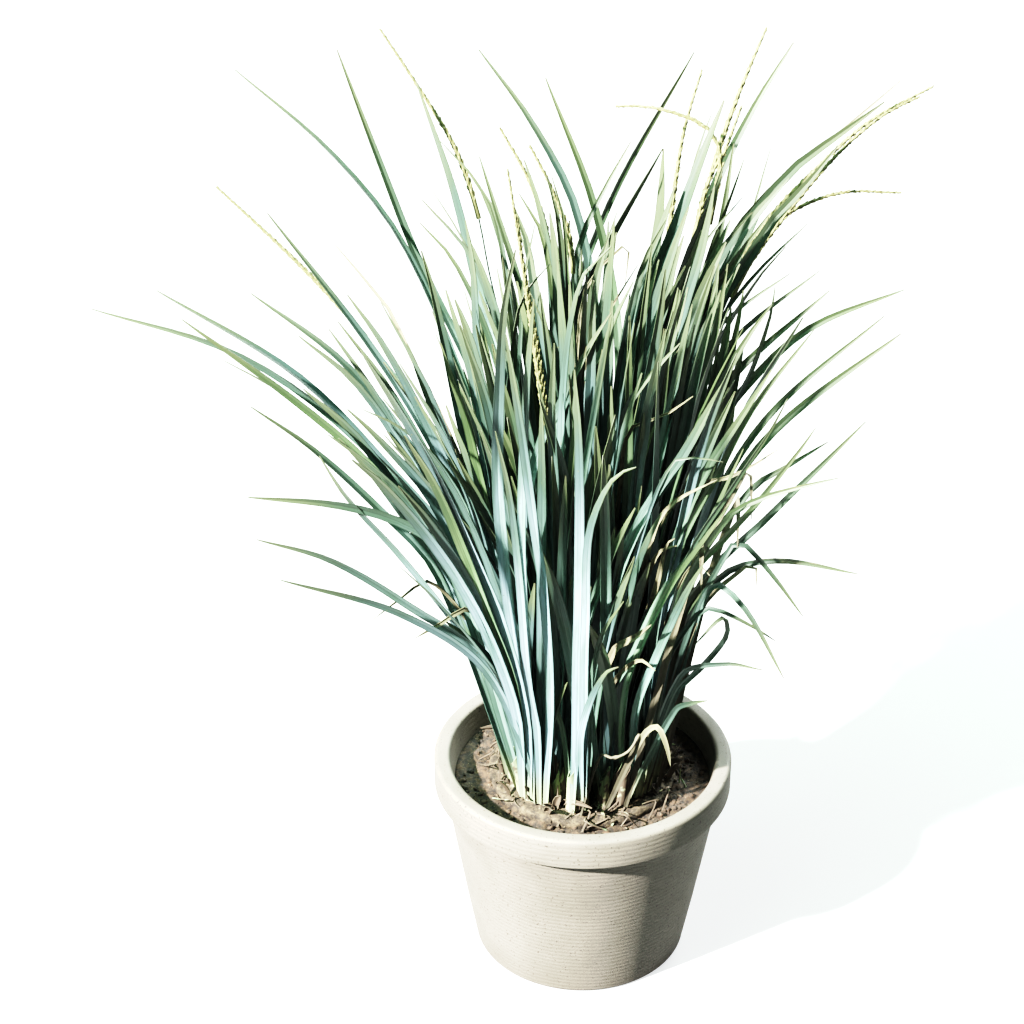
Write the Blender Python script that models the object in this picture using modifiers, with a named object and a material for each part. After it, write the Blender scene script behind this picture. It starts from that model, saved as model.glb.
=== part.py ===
"""A potted sedge: a clump of blue-green strap leaves with flower stems, rooted in a plain round pot of soil.

Units are metres, +Z is up. The origin is the centre of the pot's base, on the surface that it stands on.
The clump is seen from -Y in the reference view, with +X to the right.
"""

import math
from collections import namedtuple

import bmesh
import bpy
from mathutils import Vector

# Driving dimensions of the pot
POT_HEIGHT = 0.150
RIM_RADIUS = 0.101
RIM_BAND_HEIGHT = 0.022
RIM_BAND_PROUD = 0.003
RIM_ROUNDING = 0.003
BASE_RADIUS = 0.073
BASE_ROUNDING = 0.003
WALL = 0.008
FLOOR = 0.010
DRAIN_HOLE_RADIUS = 0.006
DRAIN_HOLE_OFFSET = 0.042
DRAIN_HOLES = 3
POT_SIDES = 36

# Driving dimensions of what the pot holds
TOUCHING_GAP = 0.0003
SOIL_BELOW_RIM = 0.018
ROOTSTOCK_RADIUS = 0.063
ROOTSTOCK_HEIGHT = 0.009
ROOTSTOCK_SIDES = 24
SOIL_TOP = POT_HEIGHT - SOIL_BELOW_RIM
ROOTSTOCK_BASE = SOIL_TOP + TOUCHING_GAP
ROOTSTOCK_TOP = ROOTSTOCK_BASE + ROOTSTOCK_HEIGHT
FOOT_HEIGHT = ROOTSTOCK_TOP + TOUCHING_GAP

# The reference view: a point of the clump is given by its pixel there and by its depth along +Y
METRES_PER_PIXEL = 0.0006
CROWN_PIXEL = (607, 915)
VIEW_ELEVATION = math.radians(30)
CROWN = Vector((0, 0, FOOT_HEIGHT))
RIGHT = Vector((1, 0, 0))
UP = Vector((0, math.sin(VIEW_ELEVATION), math.cos(VIEW_ELEVATION)))
FORWARD = Vector((0, math.cos(VIEW_ELEVATION), -math.sin(VIEW_ELEVATION)))
VIEWPOINT = CROWN - 0.048 * RIGHT + 0.170 * UP - 1.648 * FORWARD

# Driving dimensions of the leaves and stems
LEAF_FOOT_RADIUS = 0.053
LEAF_THICKNESS = 0.0014
LEAF_STATIONS = 12
TILLER_STATIONS = 10
STEM_STATIONS = 12
STEM_RADIUS = 0.0012
SPIKE_RADIUS = 0.0024
SPIKE_START = 0.66
RUNNER_RADIUS = 0.0014
TILLER_FOOT_RADIUS = 0.0062
TILLER_FULL_RADIUS = 0.0115
TILLER_TIP_RADIUS = 0.0010

# A blade stands on the rootstock at a bearing (0 right, 90 back) and a radius. It follows a path of pixels,
# each with its depth, and its width runs level across its lean, or along a bearing where that is given
Blade = namedtuple("Blade", "bearing width path radius across", defaults=(LEAF_FOOT_RADIUS, None))

# A shoot stands at a bearing and a radius, and its tip has a reach from the clump's axis and a height
Tiller = namedtuple("Tiller", "bearing radius reach height")

# The single leaves that stand clear of the clump, left ones first, from the front round to the back
LEAVES = (
    Blade(238, 0.0066, ((500, 815, -0.062), (400, 747, -0.088), (264, 709, -0.112))),
    Blade(229, 0.0066, ((500, 805, -0.053), (410, 738, -0.074), (320, 686, -0.088), (237, 663, -0.098))),
    Blade(220, 0.0064, ((452, 680, -0.052), (400, 643, -0.062), (330, 624, -0.072), (227, 615, -0.082))),
    Blade(212, 0.0060, ((440, 700, -0.041), (375, 628, -0.047), (300, 560, -0.053), (230, 512, -0.060))),
    Blade(204, 0.0070, ((450, 690, -0.027), (370, 583, -0.033), (280, 505, -0.038), (152, 413, -0.044))),
    Blade(195, 0.0060, ((460, 680, -0.014), (340, 540, -0.017), (213, 452, -0.020), (49, 401, -0.022))),
    Blade(186, 0.0072, ((470, 690, -0.002), (380, 575, 0.000), (280, 475, 0.002), (123, 380, 0.004))),
    Blade(178, 0.0056, ((482, 690, 0.009), (400, 540, 0.016), (330, 457, 0.022), (230, 383, 0.028))),
    Blade(170, 0.0064, ((500, 690, 0.016), (430, 545, 0.026), (360, 435, 0.040), (249, 292, 0.056))),
    Blade(154, 0.0070, (
        (525, 650, 0.075), (470, 480, 0.105), (400, 322, 0.130), (320, 222, 0.148), (212, 129, 0.165),
    )),
    Blade(145, 0.0072, (
        (545, 640, 0.088), (480, 470, 0.118), (420, 345, 0.135), (375, 230, 0.150), (328, 106, 0.160),
    )),
    Blade(135, 0.0060, ((555, 620, 0.098), (500, 420, 0.128), (460, 262, 0.148), (418, 142, 0.165))),
    Blade(98, 0.0062, (
        (628, 600, 0.104), (625, 440, 0.128), (600, 290, 0.145), (550, 190, 0.160), (489, 106, 0.172),
    )),
    Blade(82, 0.0060, ((641, 600, 0.096), (648, 440, 0.115), (622, 290, 0.130), (565, 138, 0.148))),
    Blade(116, 0.0062, ((575, 620, 0.105), (590, 420, 0.145), (640, 275, 0.175), (734, 109, 0.205))),
    Blade(302, 0.0046, ((712, 857, -0.055), (730, 849, -0.065), (749, 846, -0.075))),
    Blade(310, 0.0048, ((718, 817, -0.045), (770, 804, -0.055), (811, 811, -0.065))),
    Blade(318, 0.0044, (
        (713, 838, -0.040), (745, 805, -0.041), (771, 771, -0.043), (766, 752, -0.047), (734, 783, -0.057),
    )),
    Blade(326, 0.0044, ((724, 795, -0.036), (757, 714, -0.048), (792, 742, -0.058), (836, 821, -0.074))),
    Blade(334, 0.0048, ((722, 770, -0.022), (768, 702, -0.026), (830, 687, -0.032), (920, 702, -0.040))),
    Blade(342, 0.0054, ((735, 725, -0.014), (820, 635, -0.016), (880, 577, -0.018), (929, 529, -0.020))),
    Blade(350, 0.0054, ((725, 715, -0.004), (800, 605, -0.002), (840, 580, 0.000), (886, 552, 0.002))),
    Blade(358, 0.0060, ((728, 712, 0.003), (783, 592, 0.010), (840, 525, 0.018), (969, 429, 0.024))),
    Blade(6, 0.0056, ((718, 718, 0.022), (772, 590, 0.032), (830, 510, 0.040), (950, 409, 0.048))),
    Blade(14, 0.0060, (
        (700, 690, 0.038), (745, 555, 0.052), (810, 470, 0.062), (870, 420, 0.068), (973, 379, 0.076),
    )),
    Blade(23, 0.0064, ((692, 670, 0.052), (730, 545, 0.070), (780, 475, 0.080), (888, 380, 0.092))),
    Blade(32, 0.0048, ((686, 650, 0.064), (730, 520, 0.082), (780, 435, 0.090), (876, 358, 0.104))),
    Blade(64, 0.0070, (
        (664, 620, 0.094), (705, 440, 0.124), (750, 280, 0.148), (800, 175, 0.162), (847, 98, 0.172),
    )),
)

# The flower stems, from left to right by their tips
FLOWER_STEMS = (
    Blade(162, 0, ((505, 660, 0.060), (390, 470, 0.090), (300, 365, 0.105), (191, 262, 0.120))),
    Blade(126, 0, ((562, 600, 0.112), (510, 400, 0.140), (470, 235, 0.160), (377, 83, 0.180))),
    Blade(214, 0, ((578, 640, -0.022), (556, 470, -0.006), (536, 330, 0.006), (522, 242, 0.014)), 0.031),
    Blade(73, 0, ((654, 600, 0.108), (702, 340, 0.134), (720, 210, 0.144), (743, 129, 0.150))),
    Blade(56, 0, ((668, 600, 0.092), (740, 300, 0.128), (770, 195, 0.140), (816, 82, 0.150))),
    Blade(48, 0, (
        (682, 600, 0.084), (790, 340, 0.118), (860, 255, 0.126), (930, 190, 0.132), (1006, 148, 0.138),
    )),
    Blade(40, 0, (
        (690, 620, 0.082), (790, 335, 0.112), (850, 288, 0.118), (900, 269, 0.122), (969, 269, 0.126),
    )),
)

# The dry leaves: one bent over the front of the clump, and two strips folded over and hanging at the right
DEAD_LEAVES = (
    Blade(284, 0.0040, (
        (676, 886, -0.061), (692, 876, -0.067), (702, 896, -0.071), (707, 920, -0.073),
    ), 0.057),
    Blade(330, 0.0046, (
        (752, 705, -0.030), (781, 622, -0.034), (784, 616, -0.040), (783, 672, -0.046),
    ), 0.058, 0),
    Blade(298, 0.0046, (
        (712, 765, -0.060), (740, 672, -0.065), (742, 664, -0.070), (742, 721, -0.076),
    ), 0.058, 0),
)

# The creeping stem in front of the crown, and the stub of an old sheath
RUNNER = Blade(268, 0, (
    (628, 908, -0.062), (643, 911, -0.064), (660, 903, -0.063), (672, 884, -0.060),
), 0.0595)
OLD_SHEATH = Blade(247, 0.0080, ((573, 925, -0.048), (572, 901, -0.048)), 0.051, 0)

# The shoots: one in the middle, a ring round it and an outer ring
TILLERS = (
    Tiller(0, 0.000, 0.010, 0.440),
    *(Tiller(bearing, 0.020, 0.062, 0.430) for bearing in (34, 106, 178, 250, 322)),
    *(Tiller(bearing, 0.040, 0.100, 0.400) for bearing in (8, 44)),
    *(Tiller(bearing, 0.040, 0.125, 0.390) for bearing in (80, 116, 152, 188, 332)),
    *(Tiller(bearing, 0.040, 0.160, 0.360) for bearing in (224, 260, 296)),
)


def new_collection(name):
    """Makes an empty collection in the scene."""
    collection = bpy.data.collections.new(name)
    bpy.context.scene.collection.children.link(collection)
    return collection


def new_material(name, colour, roughness):
    """Makes a plain Principled material."""
    material = bpy.data.materials.new(name)
    material.use_nodes = True
    shader = material.node_tree.nodes["Principled BSDF"]
    shader.inputs["Base Color"].default_value = (*colour, 1)
    shader.inputs["Roughness"].default_value = roughness
    shader.inputs["Metallic"].default_value = 0
    return material


def add_part(name, mesh, material):
    """Closes a bmesh into a named object of the sedge, its faces turned outwards."""
    bmesh.ops.recalc_face_normals(mesh, faces=mesh.faces)
    data = bpy.data.meshes.new(name)
    mesh.to_mesh(data)
    mesh.free()
    data.materials.append(material)
    part = bpy.data.objects.new(name, data)
    SEDGE.objects.link(part)
    return part


def turned(name, profile, material):
    """Turns a profile of (radius, height) points round the Z axis with a Screw modifier."""
    data = bpy.data.meshes.new(name)
    data.from_pydata([(r, 0, z) for r, z in profile], [(i, i + 1) for i in range(len(profile) - 1)], [])
    data.materials.append(material)
    part = bpy.data.objects.new(name, data)
    SEDGE.objects.link(part)
    screw = part.modifiers.new("Turn", "SCREW")
    screw.steps = screw.render_steps = POT_SIDES
    screw.use_merge_vertices = True
    screw.merge_threshold = 0.00001
    return part


def arc(centre, radius, start, stop, steps=3):
    """Points of (radius, height) on an arc between two angles in degrees."""
    angles = [math.radians(start + (stop - start) * step / steps) for step in range(steps + 1)]
    return [(centre[0] + radius * math.cos(a), centre[1] + radius * math.sin(a)) for a in angles]


def outer_wall(height):
    """Radius of the pot's outer wall, under its rim band, at a height."""
    top = RIM_RADIUS - RIM_BAND_PROUD
    return BASE_RADIUS + (top - BASE_RADIUS) * height / POT_HEIGHT


def make_pot():
    """The pot: one turned wall with a rounded rim band, and drain holes through its floor."""
    inner_rim = outer_wall(POT_HEIGHT) - WALL
    band_base = POT_HEIGHT - RIM_BAND_HEIGHT
    rounded = POT_HEIGHT - RIM_ROUNDING
    profile = [(0, FLOOR), (outer_wall(FLOOR) - WALL, FLOOR)]
    profile += arc((inner_rim + RIM_ROUNDING, rounded), RIM_ROUNDING, 180, 90)
    profile += arc((RIM_RADIUS - RIM_ROUNDING, rounded), RIM_ROUNDING, 90, 0)
    profile += [(RIM_RADIUS, band_base), (outer_wall(band_base), band_base - RIM_BAND_PROUD)]
    profile += arc((BASE_RADIUS - BASE_ROUNDING, BASE_ROUNDING), BASE_ROUNDING, 0, -90)
    profile += [(0, 0)]
    pot = turned("pot", profile, STONEWARE)
    for hole in range(DRAIN_HOLES):
        angle = 2 * math.pi * hole / DRAIN_HOLES
        place = (DRAIN_HOLE_OFFSET * math.cos(angle), DRAIN_HOLE_OFFSET * math.sin(angle), FLOOR / 2)
        bpy.ops.mesh.primitive_cylinder_add(
            vertices=16, radius=DRAIN_HOLE_RADIUS, depth=3 * FLOOR, location=place
        )
        cutter = bpy.context.object
        cutter.name = f"drain_hole_cutter_{hole + 1}"
        for collection in list(cutter.users_collection):
            collection.objects.unlink(cutter)
        CUTTERS.objects.link(cutter)
        cutter.hide_render = True
        cutter.display_type = "WIRE"
        cut = pot.modifiers.new("Drain hole", "BOOLEAN")
        cut.operation = "DIFFERENCE"
        cut.object = cutter


def make_soil():
    """The soil: it fills the pot from its floor to just under the rim."""
    base = FLOOR + TOUCHING_GAP
    clear = WALL + TOUCHING_GAP
    top_radius = outer_wall(SOIL_TOP) - clear
    base_radius = outer_wall(base) - clear
    turned("potting_soil", [(0, SOIL_TOP), (top_radius, SOIL_TOP), (base_radius, base), (0, base)], SOIL)


def make_rootstock():
    """The rootstock: a low mat with an uneven edge, flat on top where the shoots stand."""
    rings = []
    for height, inset in ((ROOTSTOCK_BASE, 0), (ROOTSTOCK_TOP - 0.003, 0.001), (ROOTSTOCK_TOP, 0.0025)):
        ring = []
        for side in range(ROOTSTOCK_SIDES):
            angle = 2 * math.pi * side / ROOTSTOCK_SIDES
            edge = ROOTSTOCK_RADIUS - inset + 0.0012 * math.sin(3 * angle) + 0.0010 * math.cos(5 * angle)
            ring.append((edge * math.cos(angle), edge * math.sin(angle), height))
        rings.append(ring)
    loft("rootstock", rings, SHEATH)


def loft(name, rings, material):
    """One closed solid through a row of rings, each a list of points in the same order."""
    mesh = bmesh.new()
    loops = [[mesh.verts.new(point) for point in ring] for ring in rings]
    for lower, upper in zip(loops, loops[1:]):
        for corner, start in enumerate(lower):
            after = (corner + 1) % len(lower)
            mesh.faces.new((start, lower[after], upper[after], upper[corner]))
    mesh.faces.new(reversed(loops[0]))
    mesh.faces.new(loops[-1])
    return add_part(name, mesh, material)


def at(pixel, depth):
    """The point at this pixel of the reference view that lies at this depth along +Y."""
    across = (pixel[0] - CROWN_PIXEL[0]) * METRES_PER_PIXEL
    above = (CROWN_PIXEL[1] - pixel[1]) * METRES_PER_PIXEL
    ray = CROWN + across * RIGHT + above * UP - VIEWPOINT
    return VIEWPOINT + ray * ((depth - VIEWPOINT.y) / ray.y)


def foot_of(plant):
    """Where a blade or a shoot stands on the rootstock."""
    angle = math.radians(plant.bearing)
    return Vector((plant.radius * math.cos(angle), plant.radius * math.sin(angle), FOOT_HEIGHT))


def smooth_path(points, stations):
    """Evenly spaced points on one smooth curve through the given points."""
    lengths = [0.0]
    for before, after in zip(points, points[1:]):
        lengths.append(lengths[-1] + (after - before).length)
    slopes = []
    for i in range(len(points)):
        low, high = max(i - 1, 0), min(i + 1, len(points) - 1)
        slopes.append((points[high] - points[low]) / (lengths[high] - lengths[low]))
    path = []
    for station in range(stations):
        along = lengths[-1] * station / (stations - 1)
        span = max(i for i in range(len(points) - 1) if lengths[i] <= along)
        size = lengths[span + 1] - lengths[span]
        t = (along - lengths[span]) / size
        path.append(
            points[span] * (2 * t**3 - 3 * t**2 + 1)
            + slopes[span] * size * (t**3 - 2 * t**2 + t)
            + points[span + 1] * (3 * t**2 - 2 * t**3)
            + slopes[span + 1] * size * (t**3 - t**2)
        )
    return path


def spine_of(blade, stations):
    """The middle line of a blade, from its foot to its tip."""
    points = [foot_of(blade)] + [at((x, y), depth) for x, y, depth in blade.path]
    return smooth_path(points, stations)


def sections(spine, side, half_widths, half_thicknesses, corners):
    """Rings across a spine, wide along one side direction. The first ring lies flat on the rootstock."""
    rings = []
    for i, centre in enumerate(spine):
        low, high = max(i - 1, 0), min(i + 1, len(spine) - 1)
        along = Vector((0, 0, 1)) if i == 0 else (spine[high] - spine[low]).normalized()
        across = (side - along * side.dot(along)).normalized()
        over = along.cross(across)
        ring = []
        for corner in range(corners):
            angle = 2 * math.pi * corner / corners
            wide = across * half_widths[i] * math.cos(angle)
            ring.append(centre + wide + over * half_thicknesses[i] * math.sin(angle))
        rings.append(ring)
    return rings


def side_of(blade, spine):
    """The level direction across a blade."""
    if blade.across is not None:
        angle = math.radians(blade.across)
        return Vector((math.cos(angle), math.sin(angle), 0))
    lean = spine[-1] - spine[0]
    return Vector((-lean.y, lean.x, 0)).normalized()


def make_leaf(name, blade, material):
    """A strap leaf: narrow at its foot, full along its middle and drawn out to a fine tip."""
    spine = spine_of(blade, LEAF_STATIONS)
    widths, thicknesses = [], []
    for station in range(LEAF_STATIONS):
        s = station / (LEAF_STATIONS - 1)
        fullness = min(1.0, 0.62 + 1.6 * s) * (1 - 0.90 * s**3)
        widths.append(blade.width / 2 * fullness)
        thicknesses.append(LEAF_THICKNESS / 2 * (1 - 0.6 * s))
    loft(name, sections(spine, side_of(blade, spine), widths, thicknesses, 4), material)


def make_stem(name, blade, thin, thick, thick_from, material):
    """A round stem that swells into a flower spike past one point of its length."""
    spine = spine_of(blade, STEM_STATIONS)
    radii = []
    for station in range(STEM_STATIONS):
        s = station / (STEM_STATIONS - 1)
        radii.append(thin if s < thick_from else thick)
    radii[-1] = thin / 2
    loft(name, sections(spine, side_of(blade, spine), radii, radii, 6), material)


def make_tiller(name, tiller):
    """The body of one shoot: a slender spindle that leans outwards and runs up to its leaf tips."""
    foot = foot_of(tiller)
    angle = math.radians(tiller.bearing)
    outwards = Vector((math.cos(angle), math.sin(angle), 0))
    spine, radii = [], []
    for station in range(TILLER_STATIONS):
        s = station / (TILLER_STATIONS - 1)
        lean = (tiller.reach - tiller.radius) * (0.7 * s + 0.3 * s**2)
        spine.append(foot + outwards * lean + Vector((0, 0, tiller.height * (1.06 * s - 0.06 * s**2))))
        swell = math.sin(math.pi * min(1.0, s / 0.9)) if s < 0.9 else 0
        taper = 1 - s
        radii.append(TILLER_TIP_RADIUS + (TILLER_FOOT_RADIUS - TILLER_TIP_RADIUS) * taper
                     + (TILLER_FULL_RADIUS - TILLER_FOOT_RADIUS) * swell)
    side = Vector((-outwards.y, outwards.x, 0))
    loft(name, sections(spine, side, radii, radii, 8), LEAF_GREEN)


# Start from an empty scene
for existing in list(bpy.data.objects):
    bpy.data.objects.remove(existing, do_unlink=True)
SEDGE = new_collection("potted_sedge")
CUTTERS = new_collection("cutters")

# Finishes
STONEWARE = new_material("stoneware", (0.46, 0.43, 0.38), 0.75)
SOIL = new_material("soil", (0.035, 0.026, 0.018), 0.95)
SHEATH = new_material("sheath_brown", (0.20, 0.15, 0.10), 0.85)
LEAF_GREEN = new_material("leaf_blue_green", (0.24, 0.36, 0.31), 0.55)
SPIKE_YELLOW = new_material("spike_yellow_green", (0.50, 0.50, 0.22), 0.65)
STRAW = new_material("straw", (0.52, 0.44, 0.28), 0.80)

# The pot and what it holds
make_pot()
make_soil()
make_rootstock()

# The clump
for number, tiller in enumerate(TILLERS, 1):
    make_tiller(f"tiller_{number:02d}", tiller)
for number, blade in enumerate(LEAVES, 1):
    make_leaf(f"leaf_{number:02d}", blade, LEAF_GREEN)
for number, blade in enumerate(FLOWER_STEMS, 1):
    make_stem(f"flower_stem_{number:02d}", blade, STEM_RADIUS, SPIKE_RADIUS, SPIKE_START, SPIKE_YELLOW)
for number, blade in enumerate(DEAD_LEAVES, 1):
    make_leaf(f"dead_leaf_{number:02d}", blade, STRAW)
make_stem("dry_runner", RUNNER, RUNNER_RADIUS, RUNNER_RADIUS, 1, STRAW)
make_leaf("old_sheath", OLD_SHEATH, SHEATH)
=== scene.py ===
# %% [markdown]
# # A potted sedge
# An old clump of blue-green sedge in a plain stoneware pot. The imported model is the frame: it says where
# each leaf, stem and shoot stands. Here every one of them gets its real form, which is thin, folded,
# tapered and a little twisted, and its real finish. All sizes are metres unless a name says otherwise, +Z
# is up, and the clump is seen from -Y.

# %% Load the frame
import math
import random
from collections import namedtuple

import bmesh
import bpy
from mathutils import Matrix, Vector, noise


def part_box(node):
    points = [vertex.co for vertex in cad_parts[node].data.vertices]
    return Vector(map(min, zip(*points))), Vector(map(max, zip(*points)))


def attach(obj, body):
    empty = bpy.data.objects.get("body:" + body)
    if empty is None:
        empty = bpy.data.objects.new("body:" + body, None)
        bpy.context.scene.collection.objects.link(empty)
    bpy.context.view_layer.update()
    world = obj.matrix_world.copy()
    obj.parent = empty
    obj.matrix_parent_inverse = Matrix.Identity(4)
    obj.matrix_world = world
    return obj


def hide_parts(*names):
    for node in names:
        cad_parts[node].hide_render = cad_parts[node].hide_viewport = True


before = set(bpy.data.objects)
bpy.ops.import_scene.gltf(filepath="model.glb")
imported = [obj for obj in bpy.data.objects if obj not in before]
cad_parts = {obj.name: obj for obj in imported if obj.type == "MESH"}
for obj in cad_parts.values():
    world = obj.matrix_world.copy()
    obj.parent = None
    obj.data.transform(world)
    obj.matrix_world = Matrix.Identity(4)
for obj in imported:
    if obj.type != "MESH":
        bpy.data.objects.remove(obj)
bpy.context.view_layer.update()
chance = random.Random(7)
print("nodes in the frame:", len(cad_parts))

# %% Measure the frame
pot_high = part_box("pot")[1]
soil_low, soil_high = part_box("potting_soil")
crown_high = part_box("rootstock")[1]
POT_HEIGHT = pot_high.z
RIM_RADIUS = pot_high.x
SOIL_TOP = soil_high.z
SOIL_RADIUS = soil_high.x
CROWN_RADIUS = crown_high.x
FOOT_HEIGHT = crown_high.z
print(f"pot {POT_HEIGHT:.3f} m tall, crown {CROWN_RADIUS:.3f} m in radius at a height of {FOOT_HEIGHT:.3f} m")

# %% [markdown]
# ## The camera
# The picture was taken from a standing height, about 30 degrees above the crown. A point of the plant is
# named by its pixel in that picture and by its depth along +Y, and the ray through the pixel turns the two
# into a place. A long lens stands at the same viewpoint, so the leaves fall where the picture has them. The
# frame is a little wider than the picture's, to take in the pot.

# %% Camera
METRES_PER_PIXEL = 0.0006
CROWN_PIXEL = (607, 915)
VIEW_ELEVATION = math.radians(30)
CROWN = Vector((0, 0, FOOT_HEIGHT))
RIGHT = Vector((1, 0, 0))
UP = Vector((0, math.sin(VIEW_ELEVATION), math.cos(VIEW_ELEVATION)))
FORWARD = Vector((0, math.cos(VIEW_ELEVATION), -math.sin(VIEW_ELEVATION)))
VIEW_DISTANCE = 1.648
VIEW_SHIFT = (-0.048, 0.170)
LENS_MM = 85
SENSOR_MM = 36
VIEWPOINT = CROWN + VIEW_SHIFT[0] * RIGHT + VIEW_SHIFT[1] * UP - VIEW_DISTANCE * FORWARD


def at(pixel, depth):
    """The point at this pixel of the picture that lies at this depth along +Y."""
    across = (pixel[0] - CROWN_PIXEL[0]) * METRES_PER_PIXEL
    above = (CROWN_PIXEL[1] - pixel[1]) * METRES_PER_PIXEL
    ray = CROWN + across * RIGHT + above * UP - VIEWPOINT
    return VIEWPOINT + ray * ((depth - VIEWPOINT.y) / ray.y)


camera = bpy.data.objects.new("camera", bpy.data.cameras.new("camera"))
camera.data.lens = LENS_MM
camera.data.sensor_width = SENSOR_MM
camera.location = VIEWPOINT
camera.rotation_euler = (math.pi / 2 - VIEW_ELEVATION, 0, 0)
bpy.context.scene.collection.objects.link(camera)
bpy.context.scene.camera = camera
print("camera at", [round(value, 3) for value in VIEWPOINT])

# %% [markdown]
# ## Light, floor and background
# A dense clump shows its depth by its own shadows: bright leaves in front of a dark heart. In the picture
# the sun is low, so the key light is a small softbox, low at the left, and each leaf throws a crisp shadow
# on the next. A broad faint light from above fills the shade, and another from behind keeps the far side
# from going black. The sky is dim to the leaves and bright only to the eye. The pale floor is seen but
# throws no light back up into the clump.

# %% Light, floor and background
LOOK_AT = Vector((0, 0, 0.30))

# Angles in degrees (azimuth 0 is right and 90 is back), distance and size in metres, power in watts
Softbox = namedtuple("Softbox", "name azimuth elevation distance size power colour")
SOFTBOXES = (
    Softbox("key_light", -142, 35, 5.0, 0.16, 3600, (1.0, 0.99, 0.96)),
    Softbox("fill_light", -150, 65, 3.0, 2.0, 270, (0.62, 1.0, 0.82)),
    Softbox("back_light", 62, 28, 3.0, 1.6, 340, (0.90, 1.0, 0.96)),
)


def add_light(box):
    """A square softbox that looks at the clump."""
    lamp = bpy.data.lights.new(box.name, "AREA")
    lamp.size = box.size
    lamp.energy = box.power
    lamp.color = box.colour
    azimuth, elevation = math.radians(box.azimuth), math.radians(box.elevation)
    level = math.cos(elevation)
    way = Vector((level * math.cos(azimuth), level * math.sin(azimuth), math.sin(elevation)))
    light = bpy.data.objects.new(box.name, lamp)
    light.location = LOOK_AT + way * box.distance
    light.rotation_euler = way.to_track_quat("Z", "Y").to_euler()
    light.visible_camera = False
    bpy.context.scene.collection.objects.link(light)


for box in SOFTBOXES:
    add_light(box)


def linear(code):
    """An sRGB hex colour as linear RGBA."""
    parts = [int(code[i:i + 2], 16) / 255 for i in (1, 3, 5)]
    return (*[p / 12.92 if p <= 0.04045 else ((p + 0.055) / 1.055) ** 2.4 for p in parts], 1)


def add(tree, kind, inputs=None, **settings):
    """Adds a node with its settings. Each input takes a value, or a link from another node's output."""
    made = tree.nodes.new("ShaderNode" + kind)
    for name, value in settings.items():
        setattr(made, name, value)
    for name, value in (inputs or {}).items():
        if isinstance(value, bpy.types.NodeSocket):
            tree.links.new(value, made.inputs[name])
        else:
            made.inputs[name].default_value = value
    return made


SKY_TO_LEAVES = 0.12
SKY_TO_EYE = 1.7

world = bpy.data.worlds.new("studio")
bpy.context.scene.world = world
world.use_nodes = True
sky = world.node_tree
sky.nodes.clear()
to_eye = add(sky, "LightPath").outputs["Is Camera Ray"]
dim = add(sky, "Background", {"Color": linear("#BFE0D4"), "Strength": SKY_TO_LEAVES})
bright = add(sky, "Background", {"Color": linear("#FAFAFA"), "Strength": SKY_TO_EYE})
seen = add(sky, "MixShader", {0: to_eye, 1: dim.outputs[0], 2: bright.outputs[0]})
add(sky, "OutputWorld", {"Surface": seen.outputs[0]})

FLOOR_RADIUS = 6.0
mesh = bmesh.new()
bmesh.ops.create_circle(mesh, cap_ends=True, segments=96, radius=FLOOR_RADIUS)
floor_mesh = bpy.data.meshes.new("floor")
mesh.to_mesh(floor_mesh)
mesh.free()
floor = bpy.data.objects.new("floor", floor_mesh)
bpy.context.scene.collection.objects.link(floor)
floor.visible_diffuse = False

paper = bpy.data.materials.new("studio paper")
paper.use_nodes = True
shader = paper.node_tree.nodes["Principled BSDF"]
shader.inputs["Base Color"].default_value = linear("#8F8F8E")
shader.inputs["Roughness"].default_value = 0.95
shader.inputs["Specular IOR Level"].default_value = 0.0
shader.inputs["Emission Color"].default_value = linear("#F4F6F8")
shader.inputs["Emission Strength"].default_value = 1.05
floor_mesh.materials.append(paper)
print("studio ready")

# %% [markdown]
# ## The print
# The picture has deep shadows and soft highlights. A curve does the same to the render: it runs from the
# light on a surface to the tone in the picture, and its foot and shoulder are pulled in.

# %% Print curve
WHITE_LEVEL = 2.0
PRINT_CURVE = ((0.04, 0.013), (0.10, 0.052), (0.25, 0.21), (0.5, 0.47), (1.0, 0.78))

view = bpy.context.scene.view_settings
view.view_transform = "Standard"
view.use_curve_mapping = True
view.curve_mapping.white_level = (WHITE_LEVEL, WHITE_LEVEL, WHITE_LEVEL)
curve = view.curve_mapping.curves[3]
for light, tone in PRINT_CURVE:
    curve.points.new(light / WHITE_LEVEL, tone)
for point in curve.points:
    point.handle_type = "AUTO_CLAMPED"
view.curve_mapping.update()
print("print curve:", [(round(point.location.x, 3), round(point.location.y, 3)) for point in curve.points])

# %% [markdown]
# ## How the finishes are made
# Every finish starts from one Principled shader. Small helpers keep the node trees short: one mixes two
# colours, one turns a stretch of values into 0 to 1, two lay a colour over another, and one does sums.
# Patterns are worked out in millimetres.

# %% Helpers for materials
def new_material(name):
    """A material with a Principled shader, and the tree it stands in."""
    material = bpy.data.materials.new(name)
    material.use_nodes = True
    tree = material.node_tree
    return material, tree, tree.nodes["Principled BSDF"]


def mix(tree, factor, first, second, blend="MIX"):
    """The colour between two colours, or one colour worked on another."""
    made = add(tree, "Mix", {0: factor, 6: first, 7: second}, data_type="RGBA", blend_type=blend)
    return made.outputs[2]


def between(tree, value, low, high, first=0.0, last=1.0):
    """Turns a value that runs from low to high into one that runs smoothly from first to last."""
    inputs = {"Value": value, "From Min": low, "From Max": high, "To Min": first, "To Max": last}
    return add(tree, "MapRange", inputs, interpolation_type="SMOOTHSTEP").outputs[0]


def paint(tree, under, code, value, low, high, first=0.0, last=1.0):
    """Lays a hex colour over another, from first to last as a value runs from low to high."""
    return mix(tree, between(tree, value, low, high, first, last), under, linear(code))


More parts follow.
